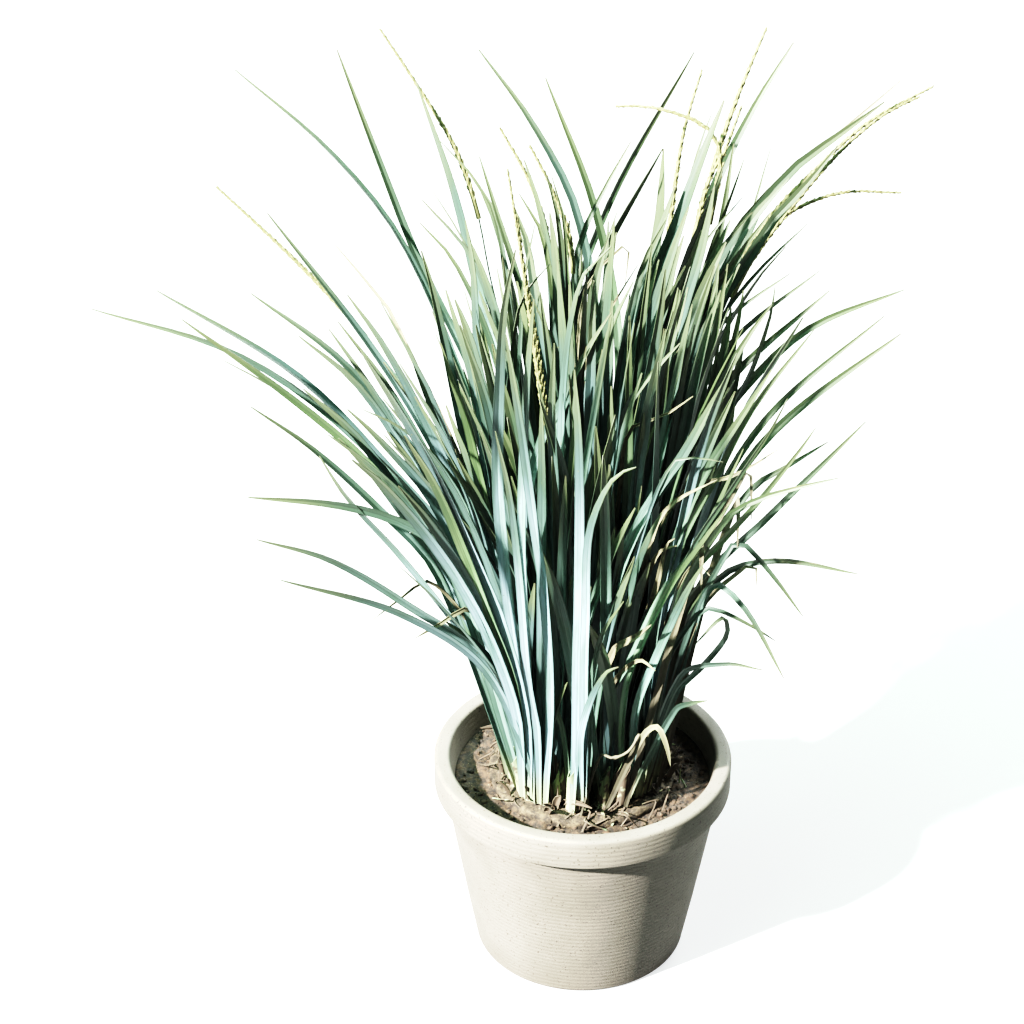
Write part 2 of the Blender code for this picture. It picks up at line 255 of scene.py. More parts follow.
def stain(tree, under, code, amount):
    """Darkens a colour by a hex colour, as thin paint does."""
    return mix(tree, amount, under, mix(tree, 1.0, under, linear(code), "MULTIPLY"))


def sums(tree, how, first, second=0.0):
    """One sum of two values."""
    return add(tree, "Math", {0: first, 1: second}, operation=how).outputs[0]


def speckle(tree, place, per_metre, detail=2.0, rough=0.5):
    """Smooth noise with a given number of blotches to the metre."""
    return add(tree, "TexNoise", {"Vector": place, "Scale": per_metre, "Detail": detail, "Roughness": rough})


def bump(tree, height, deep, strength=1.0):
    """A surface raised by height, deep metres at most."""
    return add(tree, "Bump", {"Height": height, "Distance": deep, "Strength": strength}).outputs[0]


def finish(tree, shader, colour, rough, normal=None):
    """Plugs a colour, a roughness and a bump into the shader."""
    tree.links.new(colour, shader.inputs["Base Color"])
    tree.links.new(rough, shader.inputs["Roughness"])
    if normal is not None:
        tree.links.new(normal, shader.inputs["Normal"])


# %% [markdown]
# ## The leaf
# A sedge's strap leaf is a tough sheet with parallel veins half a millimetre apart, one fold along its
# middle and a pale waxy bloom. The bloom makes it mint in the sun and slate in the shade. It is greener
# where the bloom has worn off, olive and brown towards its tip, and cream where it stands in its sheath.
# Each leaf carries three numbers of its own: how far along it a point is, its tone, and how dry it is. The
# veins follow the leaf's own UV map, which is in millimetres across and along.

# %% Leaf material
def leaf_coordinates(tree):
    """A leaf's own numbers (along, tone, dryness), and its place across and along in millimetres."""
    own = add(tree, "Attribute", attribute_name="leaf", attribute_type="GEOMETRY").outputs["Vector"]
    numbers = add(tree, "SeparateXYZ", {0: own})
    flat = add(tree, "UVMap", uv_map="blade").outputs[0]
    return numbers.outputs[0], numbers.outputs[1], numbers.outputs[2], flat


def streaks(tree, flat, tone, across, along, detail=3.0):
    """Noise drawn out along the leaf: so many bands to the millimetre across it, and along it."""
    sides = add(tree, "SeparateXYZ", {0: flat})
    u = sums(tree, "MULTIPLY", sides.outputs[0], across)
    v = sums(tree, "MULTIPLY", sides.outputs[1], along)
    place = add(tree, "CombineXYZ", {0: u, 1: v, 2: sums(tree, "MULTIPLY", tone, 37.0)})
    return add(tree, "TexNoise", {"Vector": place.outputs[0], "Scale": 1.0, "Detail": detail}).outputs[0]


def make_leaf_material():
    """Living leaf: waxy, veined and glaucous. Its bloom scatters light, so the gloss is broad and low."""
    material, tree, shader = new_material("glaucous sedge leaf")
    along, tone, dry, flat = leaf_coordinates(tree)
    place = add(tree, "TexCoord").outputs["Object"]
    height = sums(tree, "SUBTRACT", add(tree, "SeparateXYZ", {0: place}).outputs[2], FOOT_HEIGHT)
    bands = streaks(tree, flat, tone, 0.9, 0.012)
    blotches = streaks(tree, flat, tone, 0.16, 0.03)
    veins = streaks(tree, flat, tone, 2.6, 0.008, 1.0)
    age = sums(tree, "ADD", tone, between(tree, along, 0.45, 0.98, 0.0, 0.30))
    fresh = mix(tree, between(tree, age, 0.10, 0.60), linear("#8A9DA6"), linear("#70847C"))
    fresh = paint(tree, fresh, "#6A7B4E", age, 0.65, 1.20)

    # The bloom is thinner on a dry leaf and towards a tip, and the colour is duller and darker higher in the
    # clump
    dull = mix(tree, 1.0, fresh, linear("#747F78"), "MULTIPLY")
    fresh = mix(tree, between(tree, dry, 0.0, 0.15), fresh, dull)
    fresh = mix(tree, between(tree, along, 0.50, 0.86), fresh, dull)
    fresh = mix(tree, between(tree, height, 0.18, 0.40, 0.0, 0.85), fresh, dull)
    # Painted shade darkens the leaves low in the clump, fading out 26 cm above the crown
    fresh = stain(tree, fresh, "#D0D6D6", between(tree, height, 0.06, 0.26, 0.85, 0.0))

    # It is rubbed off in blotches, and between the veins the leaf is greener
    colour = stain(tree, fresh, "#D3DDCB", between(tree, blotches, 0.40, 0.72))
    colour = stain(tree, colour, "#A9BDB4", between(tree, bands, 0.30, 0.75, 0.0, 0.55))
    colour = stain(tree, colour, "#9DB3A4", between(tree, veins, 0.52, 0.66, 0.0, 0.35))

    # A darker line runs along each edge, partly the margin's own colour and partly painted shade, and painted
    # shade darkens the fold
    edge = add(tree, "Attribute", attribute_name="edge", attribute_type="GEOMETRY").outputs["Fac"]
    margin_and_shade_lines = between(tree, edge, 0.74, 0.96, 0.0, 0.62)
    fold = between(tree, edge, 0.02, 0.16, 0.42, 0.0)
    colour = stain(tree, colour, "#8A9888", sums(tree, "ADD", margin_and_shade_lines, fold))

    # The tip ages to olive and brown, the foot is cream, and a dry leaf turns to husk in patches
    ageing = sums(tree, "ADD", along, sums(tree, "MULTIPLY", blotches, 0.16))
    colour = paint(tree, colour, "#484E36", ageing, 0.86, 1.08, 0.0, 0.75)
    colour = paint(tree, colour, "#403B2B", ageing, 1.06, 1.11, 0.0, 0.8)
    colour = paint(tree, colour, "#7C8168", height, 0.004, 0.036, 0.9, 0.0)
    dried = sums(tree, "ADD", dry, sums(tree, "MULTIPLY", sums(tree, "SUBTRACT", blotches, 0.5), 1.3))
    husk = mix(tree, bands, linear("#6C6853"), linear("#504939"))
    colour = mix(tree, between(tree, dried, 0.42, 0.62), colour, husk)
    spots = speckle(tree, place, 420, 1.0).outputs[0]
    colour = paint(tree, colour, "#4C5238", spots, 0.73, 0.78, 0.0, 0.6)
    rough = between(tree, bands, 0.2, 0.8, 0.50, 0.68)
    finish(tree, shader, colour, rough, bump(tree, sums(tree, "ADD", veins, bands), 0.00012, 0.6))
    shader.inputs["Specular IOR Level"].default_value = 0.42
    return material


LEAF = make_leaf_material()

# %% [markdown]
# ## Straw, papery sheath and spike
# A dead leaf keeps its veins but loses its green: it bleaches to straw with grey-brown bands. The sheaths
# at the crown are thin paper, cream to rust brown. A flower spike is a stem packed with dry yellow-green
# scales, with dark gaps between them.

# %% Straw, sheath and spike materials
def make_straw_material():
    """Dead leaf: bleached, dull and banded."""
    material, tree, shader = new_material("bleached straw")
    along, tone, _, flat = leaf_coordinates(tree)
    bands = streaks(tree, flat, tone, 1.1, 0.02)
    patches = streaks(tree, flat, tone, 0.1, 0.11)
    colour = mix(tree, bands, linear("#76745D"), linear("#544F3E"))
    colour = paint(tree, colour, "#453F34", patches, 0.52, 0.66, 0.0, 0.8)
    colour = paint(tree, colour, "#565145", tone, 0.6, 1.0, 0.0, 0.7)
    colour = paint(tree, colour, "#332F27", along, 0.40, 0.72, 0.8, 0.0)
    rough = between(tree, bands, 0.2, 0.8, 0.65, 0.85)
    finish(tree, shader, colour, rough, bump(tree, bands, 0.0002, 0.7))
    shader.inputs["Specular IOR Level"].default_value = 0.3
    return material


def make_sheath_material():
    """Old leaf sheath: thin papery tissue, cream and green above, rust brown below."""
    material, tree, shader = new_material("papery leaf sheath")
    along, tone, _, flat = leaf_coordinates(tree)
    bands = streaks(tree, flat, tone, 0.8, 0.05)
    patches = streaks(tree, flat, tone, 0.2, 0.16)
    living = mix(tree, between(tree, along, 0.2, 0.9), linear("#8B8B70"), linear("#748064"))
    husk = mix(tree, bands, linear("#5B5044"), linear("#2E2720"))
    aged = sums(tree, "ADD", tone, sums(tree, "MULTIPLY", sums(tree, "SUBTRACT", patches, 0.5), 1.6))
    colour = mix(tree, between(tree, aged, 0.40, 0.60), living, husk)
    colour = paint(tree, colour, "#686050", bands, 0.55, 0.70, 0.0, 0.5)
    finish(tree, shader, colour, between(tree, bands, 0.2, 0.8, 0.6, 0.85), bump(tree, bands, 0.0003, 0.8))
    shader.inputs["Specular IOR Level"].default_value = 0.3
    return material


def make_spike_material():
    """Flower scales: dry and chaffy, yellow-green, and browner where they have aged."""
    material, tree, shader = new_material("chaffy flower scale")
    _, tone, dry, _ = leaf_coordinates(tree)
    place = add(tree, "TexCoord").outputs["Object"]
    grain = speckle(tree, place, 900, 2.0).outputs[0]
    colour = mix(tree, tone, linear("#6A6746"), linear("#58593A"))
    colour = paint(tree, colour, "#5A5538", dry, 0.62, 1.0, 0.0, 0.8)
    colour = paint(tree, colour, "#5C563C", grain, 0.58, 0.68, 0.0, 0.7)
    finish(tree, shader, colour, between(tree, grain, 0.2, 0.8, 0.6, 0.8), bump(tree, grain, 0.0002, 0.5))
    shader.inputs["Specular IOR Level"].default_value = 0.35
    return material


STRAW = make_straw_material()
SHEATH = make_sheath_material()
SPIKE = make_spike_material()
print("plant finishes:", LEAF.name, STRAW.name, SHEATH.name, SPIKE.name)

# %% [markdown]
# ## How a leaf is made
# A leaf could be a curve with a flat bevel, but then it would have one width and no fold. A grid is better:
# two cells across and a dozen along are laid on the leaf's middle line. The grid's own coordinates say how
# far across and along each point is, so width, fold and twist are all worked out from them. A Solidify
# modifier gives the leaf its thickness of a third of a millimetre.

# %% Helpers for foliage
LEAF_THICKNESS = 0.00036
# The share of its length over which a leaf widens out of its sheath, and how much narrower it is at its tip
SHEATHED_SHARE = 0.22
TIP_NARROWING = 0.89
# How much of its fold a leaf has lost at its tip
FOLD_LOSS = 0.30
MM_PER_METRE = 1000


def new_foliage():
    """An empty mesh with a UV map and the leaf numbers."""
    mesh = bmesh.new()
    mesh.loops.layers.uv.new("blade")
    mesh.verts.layers.float_vector.new("leaf")
    mesh.verts.layers.float.new("edge")
    return mesh


def close_piece(mesh, name, material, slot, *nodes, thickness=0):
    """Turns a mesh into one finished, smooth piece that stands for its nodes."""
    data = bpy.data.meshes.new(name)
    for face in mesh.faces:
        face.smooth = True
    mesh.to_mesh(data)
    mesh.free()
    for each in material if isinstance(material, (list, tuple)) else [material]:
        data.materials.append(each)
    piece = bpy.data.objects.new(name, data)
    bpy.context.scene.collection.objects.link(piece)
    if thickness:
        shell = piece.modifiers.new("thickness", "SOLIDIFY")
        shell.thickness = thickness
        shell.offset = 0
    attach(piece, "root")
    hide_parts(*nodes)
    return piece


def join(mesh, other):
    """Adds one mesh to another. It is faster to make small repeated shapes in a mesh of their own first."""
    data = bpy.data.meshes.new("joined")
    other.to_mesh(data)
    other.free()
    mesh.from_mesh(data)
    bpy.data.meshes.remove(data)


def smooth_path(points, stations, bunch=1.0):
    """Points on one smooth curve through the given points, closer at its end where bunch is over 1."""
    lengths = [0.0]
    for before, after in zip(points, points[1:]):
        lengths.append(lengths[-1] + (after - before).length)
    slopes = []
    for i in range(len(points)):
        low, high = max(i - 1, 0), min(i + 1, len(points) - 1)
        slopes.append((points[high] - points[low]) / (lengths[high] - lengths[low]))
    path = []
    for station in range(stations):
        share = 1 - (1 - station / (stations - 1)) ** bunch
        along = lengths[-1] * min(share, 1 - 1e-9)
        span = max(i for i in range(len(points) - 1) if lengths[i] <= along)
        size = lengths[span + 1] - lengths[span]
        t = (along - lengths[span]) / size
        path.append(
            points[span] * (2 * t**3 - 3 * t**2 + 1)
            + slopes[span] * size * (t**3 - 2 * t**2 + t)
            + points[span + 1] * (3 * t**2 - 2 * t**3)
            + slopes[span + 1] * size * (t**3 - t**2)
        )
    return path


def lay_sheet(mesh, spine, columns, place, number=(0.5, 0.0), width=0.006, slot=0):
    """Lays a grid along a spine. place(i, u, share) gives the point at station i, across u from -1 to 1."""
    grid = bmesh.ops.create_grid(mesh, x_segments=columns, y_segments=len(spine) - 1, size=1)
    uv = mesh.loops.layers.uv["blade"]
    own = mesh.verts.layers.float_vector["leaf"]
    edge_of = mesh.verts.layers.float["edge"]
    steps = [0.0]
    for before, after in zip(spine, spine[1:]):
        steps.append(steps[-1] + (after - before).length)
    faces = set()
    folds = {edge for vert in grid["verts"] for edge in vert.link_edges
             if abs(edge.verts[0].co.x) + abs(edge.verts[1].co.x) < 0.01}
    for vert in grid["verts"]:
        u = vert.co.x
        i = round((vert.co.y + 1) / 2 * (len(spine) - 1))
        share = steps[i] / steps[-1]
        vert[own] = (share, *number)
        vert[edge_of] = abs(u) if columns == 2 else 0.5
        for loop in vert.link_loops:
            loop[uv].uv = (u * width / 2 * MM_PER_METRE, steps[i] * MM_PER_METRE)
            faces.add(loop.face)
        vert.co = place(i, u, share)
    for face in faces:
        face.material_index = slot
        for edge in face.edges:
            edge.smooth = not (edge.is_boundary or columns == 2 and edge in folds)
    return grid["verts"]


def directions(spine):
    """The direction of a spine at each of its points."""
    last = len(spine) - 1
    return [(spine[min(i + 1, last)] - spine[max(i - 1, 0)]).normalized() for i in range(len(spine))]


def fullness(share, foot, taper):
    """A leaf's width there: narrow in its sheath, full along its middle and drawn out to a point."""
    return min(1.0, foot + (1 - foot) * share / SHEATHED_SHARE) * (1 - TIP_NARROWING * share**taper)


def add_leaf(mesh, spine, width, facing, turn=0.0, twist=0.0, fold=0.35, taper=5.0, foot=0.62, tone=0.5,
             dry=0.0, slot=0, columns=2):
    """One strap leaf. Its face looks along facing, turned about its length, and twists towards its tip."""
    along = directions(spine)

    def place(i, u, share):
        across = along[i].cross(facing).normalized()
        across.rotate(Matrix.Rotation(turn + twist * share, 3, along[i]))
        over = across.cross(along[i])
        half = width / 2 * fullness(share, foot, taper)
        rise = fold * (1 - FOLD_LOSS * share)
        return spine[i] + across * (u * half * math.cos(rise)) + over * (abs(u) * half * math.sin(rise))

    lay_sheet(mesh, spine, columns, place, (tone, dry), width, slot)


def add_tube(mesh, spine, radii, sides=6, tone=0.5, dry=0.0, slot=0, seam=0.0):
    """A round stem: a grid rolled up along a spine, with its seam welded."""
    along = directions(spine)
    guide = Vector((0, 0, 1)) if abs(along[0].z) < 0.7 else Vector((1, 0, 0))

    def place(i, u, share):
        across = along[i].cross(guide).normalized()
        over = across.cross(along[i])
        angle = math.pi * u + seam
        return spine[i] + (across * math.cos(angle) + over * math.sin(angle)) * radii[i]

    verts = lay_sheet(mesh, spine, sides, place, (tone, dry), 2 * math.pi * radii[0], slot)
    bmesh.ops.remove_doubles(mesh, verts=verts, dist=1e-7)


print("foliage helpers ready")

# %% [markdown]
# ## The single leaves
# These leaves stand clear of the clump, so their outline is what the eye reads first. Each follows its own
# pixels, from its foot on the crown to its tip, on the same middle line as its solid. Turning each one a
# little about its length, some to show their face and some their edge, keeps them from looking cut from one
# sheet.

# %% Single leaves
LEAF_FOOT_RADIUS = 0.053
LEAF_STATIONS = 26
LEAF_FOLD = 0.40
# A folded leaf shows a little less than its width
FOLD_ALLOWANCE = 1.02

# A blade stands on the crown at a bearing (0 right, 90 back) and a radius, and follows pixels with a depth.
# Bearing, turn and twist are in degrees, tone and dryness run from 0 to 1
Blade = namedtuple("Blade", "bearing width path radius tone turn dry twist",
                   defaults=(LEAF_FOOT_RADIUS, 0.5, 0, 0, 0))

SINGLE_LEAVES = (
    Blade(238, 0.0056, ((500, 815, -0.062), (400, 747, -0.088), (264, 709, -0.112)), tone=0.30, turn=-22),
    Blade(229, 0.0058, ((500, 805, -0.053), (410, 738, -0.074), (320, 686, -0.088), (237, 663, -0.098)),
          tone=0.42, turn=-20),
    Blade(220, 0.0070, ((452, 680, -0.052), (400, 643, -0.062), (330, 624, -0.072), (227, 615, -0.082)),
          tone=0.62, turn=-12),
    Blade(212, 0.0060, ((440, 700, -0.041), (375, 628, -0.047), (300, 560, -0.053), (230, 512, -0.060)),
          tone=0.60, turn=22),
    Blade(204, 0.0058, ((450, 690, -0.027), (370, 583, -0.033), (280, 505, -0.038), (152, 413, -0.044)),
          tone=0.90, turn=-16),
    Blade(195, 0.0048, ((460, 680, -0.014), (340, 540, -0.017), (213, 452, -0.020), (49, 401, -0.022)),
          tone=0.62, turn=-10),
    Blade(186, 0.0066, ((470, 690, -0.002), (380, 575, 0.000), (280, 475, 0.002), (123, 380, 0.004)),
          tone=0.20, turn=38),
    Blade(178, 0.0056, ((482, 690, 0.009), (400, 540, 0.016), (330, 457, 0.022), (230, 383, 0.028)),
          tone=0.36, turn=30),
    Blade(170, 0.0064, ((500, 690, 0.016), (430, 545, 0.026), (360, 435, 0.040), (249, 292, 0.056)),
          tone=0.30, turn=34),
    Blade(154, 0.0056, (
        (525, 650, 0.075), (470, 480, 0.105), (400, 322, 0.130), (320, 222, 0.148), (212, 129, 0.165),
    ), tone=0.62, turn=55, twist=-30),
    Blade(145, 0.0066, (
        (545, 640, 0.088), (480, 470, 0.118), (420, 345, 0.135), (375, 230, 0.150), (328, 106, 0.160),
    ), tone=0.70, turn=55, twist=-50),
    Blade(135, 0.0086, ((555, 620, 0.098), (500, 420, 0.128), (460, 262, 0.148), (418, 142, 0.165)),
          tone=0.40, turn=-20),
    Blade(98, 0.0068, (
        (628, 600, 0.104), (625, 440, 0.128), (600, 290, 0.145), (550, 190, 0.160), (489, 106, 0.172),
    ), tone=0.36, turn=10),
    Blade(82, 0.0068, ((641, 600, 0.096), (648, 440, 0.115), (622, 290, 0.130), (565, 138, 0.148)),
          tone=0.86, turn=8),
    Blade(116, 0.0062, ((575, 620, 0.105), (590, 420, 0.145), (640, 275, 0.175), (734, 109, 0.205)),
          tone=0.80, turn=31),
    Blade(302, 0.0046, ((712, 857, -0.055), (730, 849, -0.065), (749, 846, -0.075)), tone=0.55, turn=20),
    Blade(310, 0.0048, ((718, 817, -0.045), (770, 804, -0.055), (811, 811, -0.065)), tone=0.55, turn=30),
    Blade(318, 0.0044, (
        (713, 838, -0.040), (745, 805, -0.041), (771, 771, -0.043), (766, 752, -0.047), (734, 783, -0.057),
    ), tone=0.62, turn=24),
    Blade(326, 0.0044, ((724, 795, -0.036), (757, 714, -0.048), (792, 742, -0.058), (836, 821, -0.074)),
          tone=0.58, turn=18),
    Blade(334, 0.0048, ((722, 770, -0.022), (768, 702, -0.026), (830, 687, -0.032), (920, 702, -0.040)),
          tone=0.70, turn=14, dry=0.36),
    Blade(342, 0.0054, ((735, 725, -0.014), (820, 635, -0.016), (880, 577, -0.018), (929, 529, -0.020)),
          tone=0.74, turn=12),
    Blade(350, 0.0054, ((725, 715, -0.004), (800, 605, -0.002), (840, 580, 0.000), (886, 552, 0.002)),
          tone=0.72, turn=-12),
    Blade(358, 0.0060, ((728, 712, 0.003), (783, 592, 0.010), (840, 525, 0.018), (969, 429, 0.024)),
          tone=0.88, turn=4),
    Blade(6, 0.0056, ((718, 718, 0.022), (772, 590, 0.032), (830, 510, 0.040), (950, 409, 0.048)),
          tone=0.86, turn=10),
    Blade(14, 0.0060, (
        (700, 690, 0.038), (745, 555, 0.052), (810, 470, 0.062), (870, 420, 0.068), (973, 379, 0.076),
    ), tone=0.90, turn=6),
    Blade(23, 0.0064, ((692, 670, 0.052), (730, 545, 0.070), (780, 475, 0.080), (888, 380, 0.092)),
          tone=0.92, turn=2),
    Blade(32, 0.0048, ((686, 650, 0.064), (730, 520, 0.082), (780, 435, 0.090), (876, 358, 0.104)),
          tone=0.62, turn=22),
    Blade(64, 0.0084, (
        (664, 620, 0.094), (705, 440, 0.124), (750, 280, 0.148), (800, 175, 0.162), (847, 98, 0.172),
    ), tone=0.78, turn=8),
)


def polar(bearing, radius, height=0.0):
    """A point at a bearing in degrees, a radius and a height."""
    angle = math.radians(bearing)
    return Vector((radius * math.cos(angle), radius * math.sin(angle), height))


def spine_of(blade, stations, bunch=1.0):
    """The middle line of a blade, from its foot on the crown to its tip."""
    foot = polar(blade.bearing, blade.radius, FOOT_HEIGHT)
    points = [foot] + [at((x, y), depth) for x, y, depth in blade.path]
    return smooth_path(points, stations, bunch)


def to_viewer(spine):
    """The direction from the middle of a spine to the camera, so a leaf can show its face."""
    return (VIEWPOINT - spine[len(spine) // 2]).normalized()


for number, blade in enumerate(SINGLE_LEAVES, 1):
    name = f"leaf_{number:02d}"
    mesh = new_foliage()
    spine = spine_of(blade, LEAF_STATIONS, 1.25)
    add_leaf(mesh, spine, blade.width * FOLD_ALLOWANCE, to_viewer(spine), math.radians(blade.turn),
             math.radians(blade.twist + chance.uniform(-15, 15)), LEAF_FOLD, chance.uniform(5, 8),
             tone=blade.tone, dry=blade.dry + chance.uniform(0, 0.08))
    close_piece(mesh, name + "_blade", LEAF, "leaf", name, thickness=LEAF_THICKNESS)
print("single leaves:", len(SINGLE_LEAVES))

# %% [markdown]
# ## The leaves inside the clump
# The clump's body is over four hundred more leaves. The ones that the eye can follow in the picture are
# given in lists, each with its foot, its tip's depth, its width and the pixels that it passes.
# Its depth grows evenly from foot to tip. Some are dead, and some of those are snapped over.

# %% Listed leaves
# The foot's bearing in degrees and radius in millimetres, the tip's depth and the leaf's width in
# millimetres, its tone, its turn in degrees and the pixels it passes. Its dryness (1 is dead) and twist
# follow where they aren't 0
Strand = namedtuple("Strand", "bearing radius depth width tone turn pixels dry twist", defaults=(0, 0))

FRONT_STRANDS = (
    Strand(262, 57, -118, 7.0, 0.10, 0, (
        (601, 880), (602, 805), (604, 744), (605, 621), (603, 540), (598, 470))),
    Strand(270, 56, -128, 6.4, 0.14, 0, (
        (610, 805), (612, 744), (613, 682), (618, 646), (636, 603), (652, 587), (668, 581))),
    Strand(228, 56, -100, 7.0, 0.20, -6, (
        (542, 880), (522, 723), (511, 600), (513, 480), (518, 400), (531, 334)), 0, 70),
    Strand(230, 56, -138, 8.4, 0.06, -10, (
        (545, 870), (518, 760), (481, 674), (440, 586), (400, 517), (355, 448))),
    Strand(226, 54, -124, 7.4, 0.92, -4, ((530, 830), (501, 750), (471, 672), (440, 601), (405, 545))),
    Strand(225, 57, -126, 7.8, 0.12, -6, (
        (534, 866), (511, 795), (481, 733), (440, 670), (380, 600), (345, 572))),
    Strand(234, 57, -104, 7.2, 0.20, -14, ((549, 866), (541, 723), (539, 650), (544, 500), (552, 390))),
    Strand(243, 56, -104, 6.2, 0.16, 0, ((571, 840), (562, 707), (552, 642), (538, 540), (520, 430))),
    Strand(255, 35, -52, 6.2, 0.25, 30, ((585, 830), (580, 740), (577, 640), (572, 530), (575, 440))),
    Strand(245, 30, -50, 6.2, 0.45, -30, ((576, 800), (583, 733), (599, 652), (618, 540), (640, 410))),
    Strand(284, 40, -50, 7.0, 0.50, 10, ((612, 860), (636, 740), (671, 646), (726, 560), (770, 480))),
    Strand(296, 42, -56, 4.2, 0.80, 16, ((630, 850), (654, 815), (695, 729), (742, 662), (790, 560))),
    Strand(268, 55, -96, 5.8, 0.08, 0, (
        (605, 905), (607, 880), (615, 852), (624, 831), (636, 813), (648, 808))),
    Strand(285, 45, -96, 4.0, 0.70, 0, ((617, 840), (622, 800), (630, 770), (654, 733))),
    Strand(300, 50, -82, 4.4, 0.90, 10, ((655, 840), (680, 770), (713, 707), (742, 668), (778, 618))),
    Strand(222, 55, -116, 5.6, 0.18, 30, ((530, 850), (500, 760), (470, 700), (430, 640), (398, 602))),
    Strand(290, 26, -40, 5.4, 0.40, 20, (
        (615, 840), (622, 700), (635, 600), (660, 510), (690, 470), (718, 440))),
    Strand(250, 30, -24, 5.6, 0.30, 0, ((590, 800), (585, 650), (585, 500), (605, 370), (640, 330))),
    Strand(258, 44, -62, 3.4, 0.85, 10, ((585, 880), (577, 855), (572, 830), (566, 812))),
    Strand(248, 47, -62, 4.0, 0.80, -20, ((572, 890), (580, 850), (590, 825))),
    Strand(238, 56, -112, 5.2, 0.20, 6, (
        (556, 880), (548, 840), (543, 800), (535, 700), (524, 610), (508, 540))),
    Strand(310, 52, -86, 5.6, 0.45, 0, ((668, 860), (690, 800), (722, 730), (745, 690))),
)
LEFT_STRANDS = (
    Strand(206, 45, -35, 4.6, 0.60, -30, ((455, 700), (400, 620), (350, 560), (260, 492), (193, 456))),
    Strand(196, 40, -20, 4.0, 0.50, -30, ((480, 640), (440, 570), (400, 535), (357, 515))),
    Strand(210, 45, -50, 4.6, 0.30, 0, ((480, 740), (450, 680), (400, 610), (355, 570), (318, 544))),
    Strand(222, 50, -75, 6.0, 0.28, 0, ((520, 850), (480, 780), (402, 682), (340, 615), (308, 568))),
    Strand(226, 52, -90, 4.4, 0.50, -30, ((525, 850), (500, 800), (440, 730), (399, 693))),
    Strand(184, 40, 10, 5.0, 0.35, 10, ((490, 700), (450, 640), (400, 545), (360, 480), (319, 424))),
    Strand(176, 38, 20, 4.5, 0.60, 0, ((500, 700), (460, 620), (390, 495), (329, 415))),
    Strand(166, 45, 60, 3.0, 0.40, 0, (
        (510, 680), (450, 530), (415, 460), (388, 403), (370, 380), (345, 350), (324, 326)), 1),
    Strand(160, 35, 70, 5.4, 0.40, 0, ((550, 720), (540, 560), (510, 420), (480, 340), (425, 277))),
    Strand(150, 30, 60, 4.6, 0.70, 20, ((555, 700), (530, 540), (500, 430), (460, 345), (422, 303))),
    Strand(140, 40, 90, 5.0, 0.50, -20, ((565, 700), (540, 540), (500, 380), (465, 310), (437, 267))),
    Strand(135, 30, 110, 3.0, 0.75, 0, ((570, 680), (550, 500), (520, 350), (490, 262), (445, 210))),
    Strand(228, 40, -86, 3.4, 0.20, 0, ((540, 880), (510, 800), (479, 742), (440, 762), (417, 775)), 1),
    Strand(214, 40, -76, 2.8, 0.30, 0, ((535, 860), (480, 760), (432, 710), (400, 730), (369, 754)), 1),
    Strand(200, 48, -30, 6.4, 0.16, 0, ((500, 790), (455, 700), (405, 620), (350, 545), (290, 492))),
    Strand(192, 44, -8, 6.0, 0.22, 12, ((505, 770), (465, 670), (410, 570), (350, 485), (285, 432))),
    Strand(182, 42, 12, 6.6, 0.12, 0, ((515, 760), (480, 640), (430, 530), (380, 440), (340, 385))),
    Strand(212, 50, -48, 6.0, 0.34, -10, ((515, 830), (470, 740), (425, 665), (370, 590), (330, 548))),
)
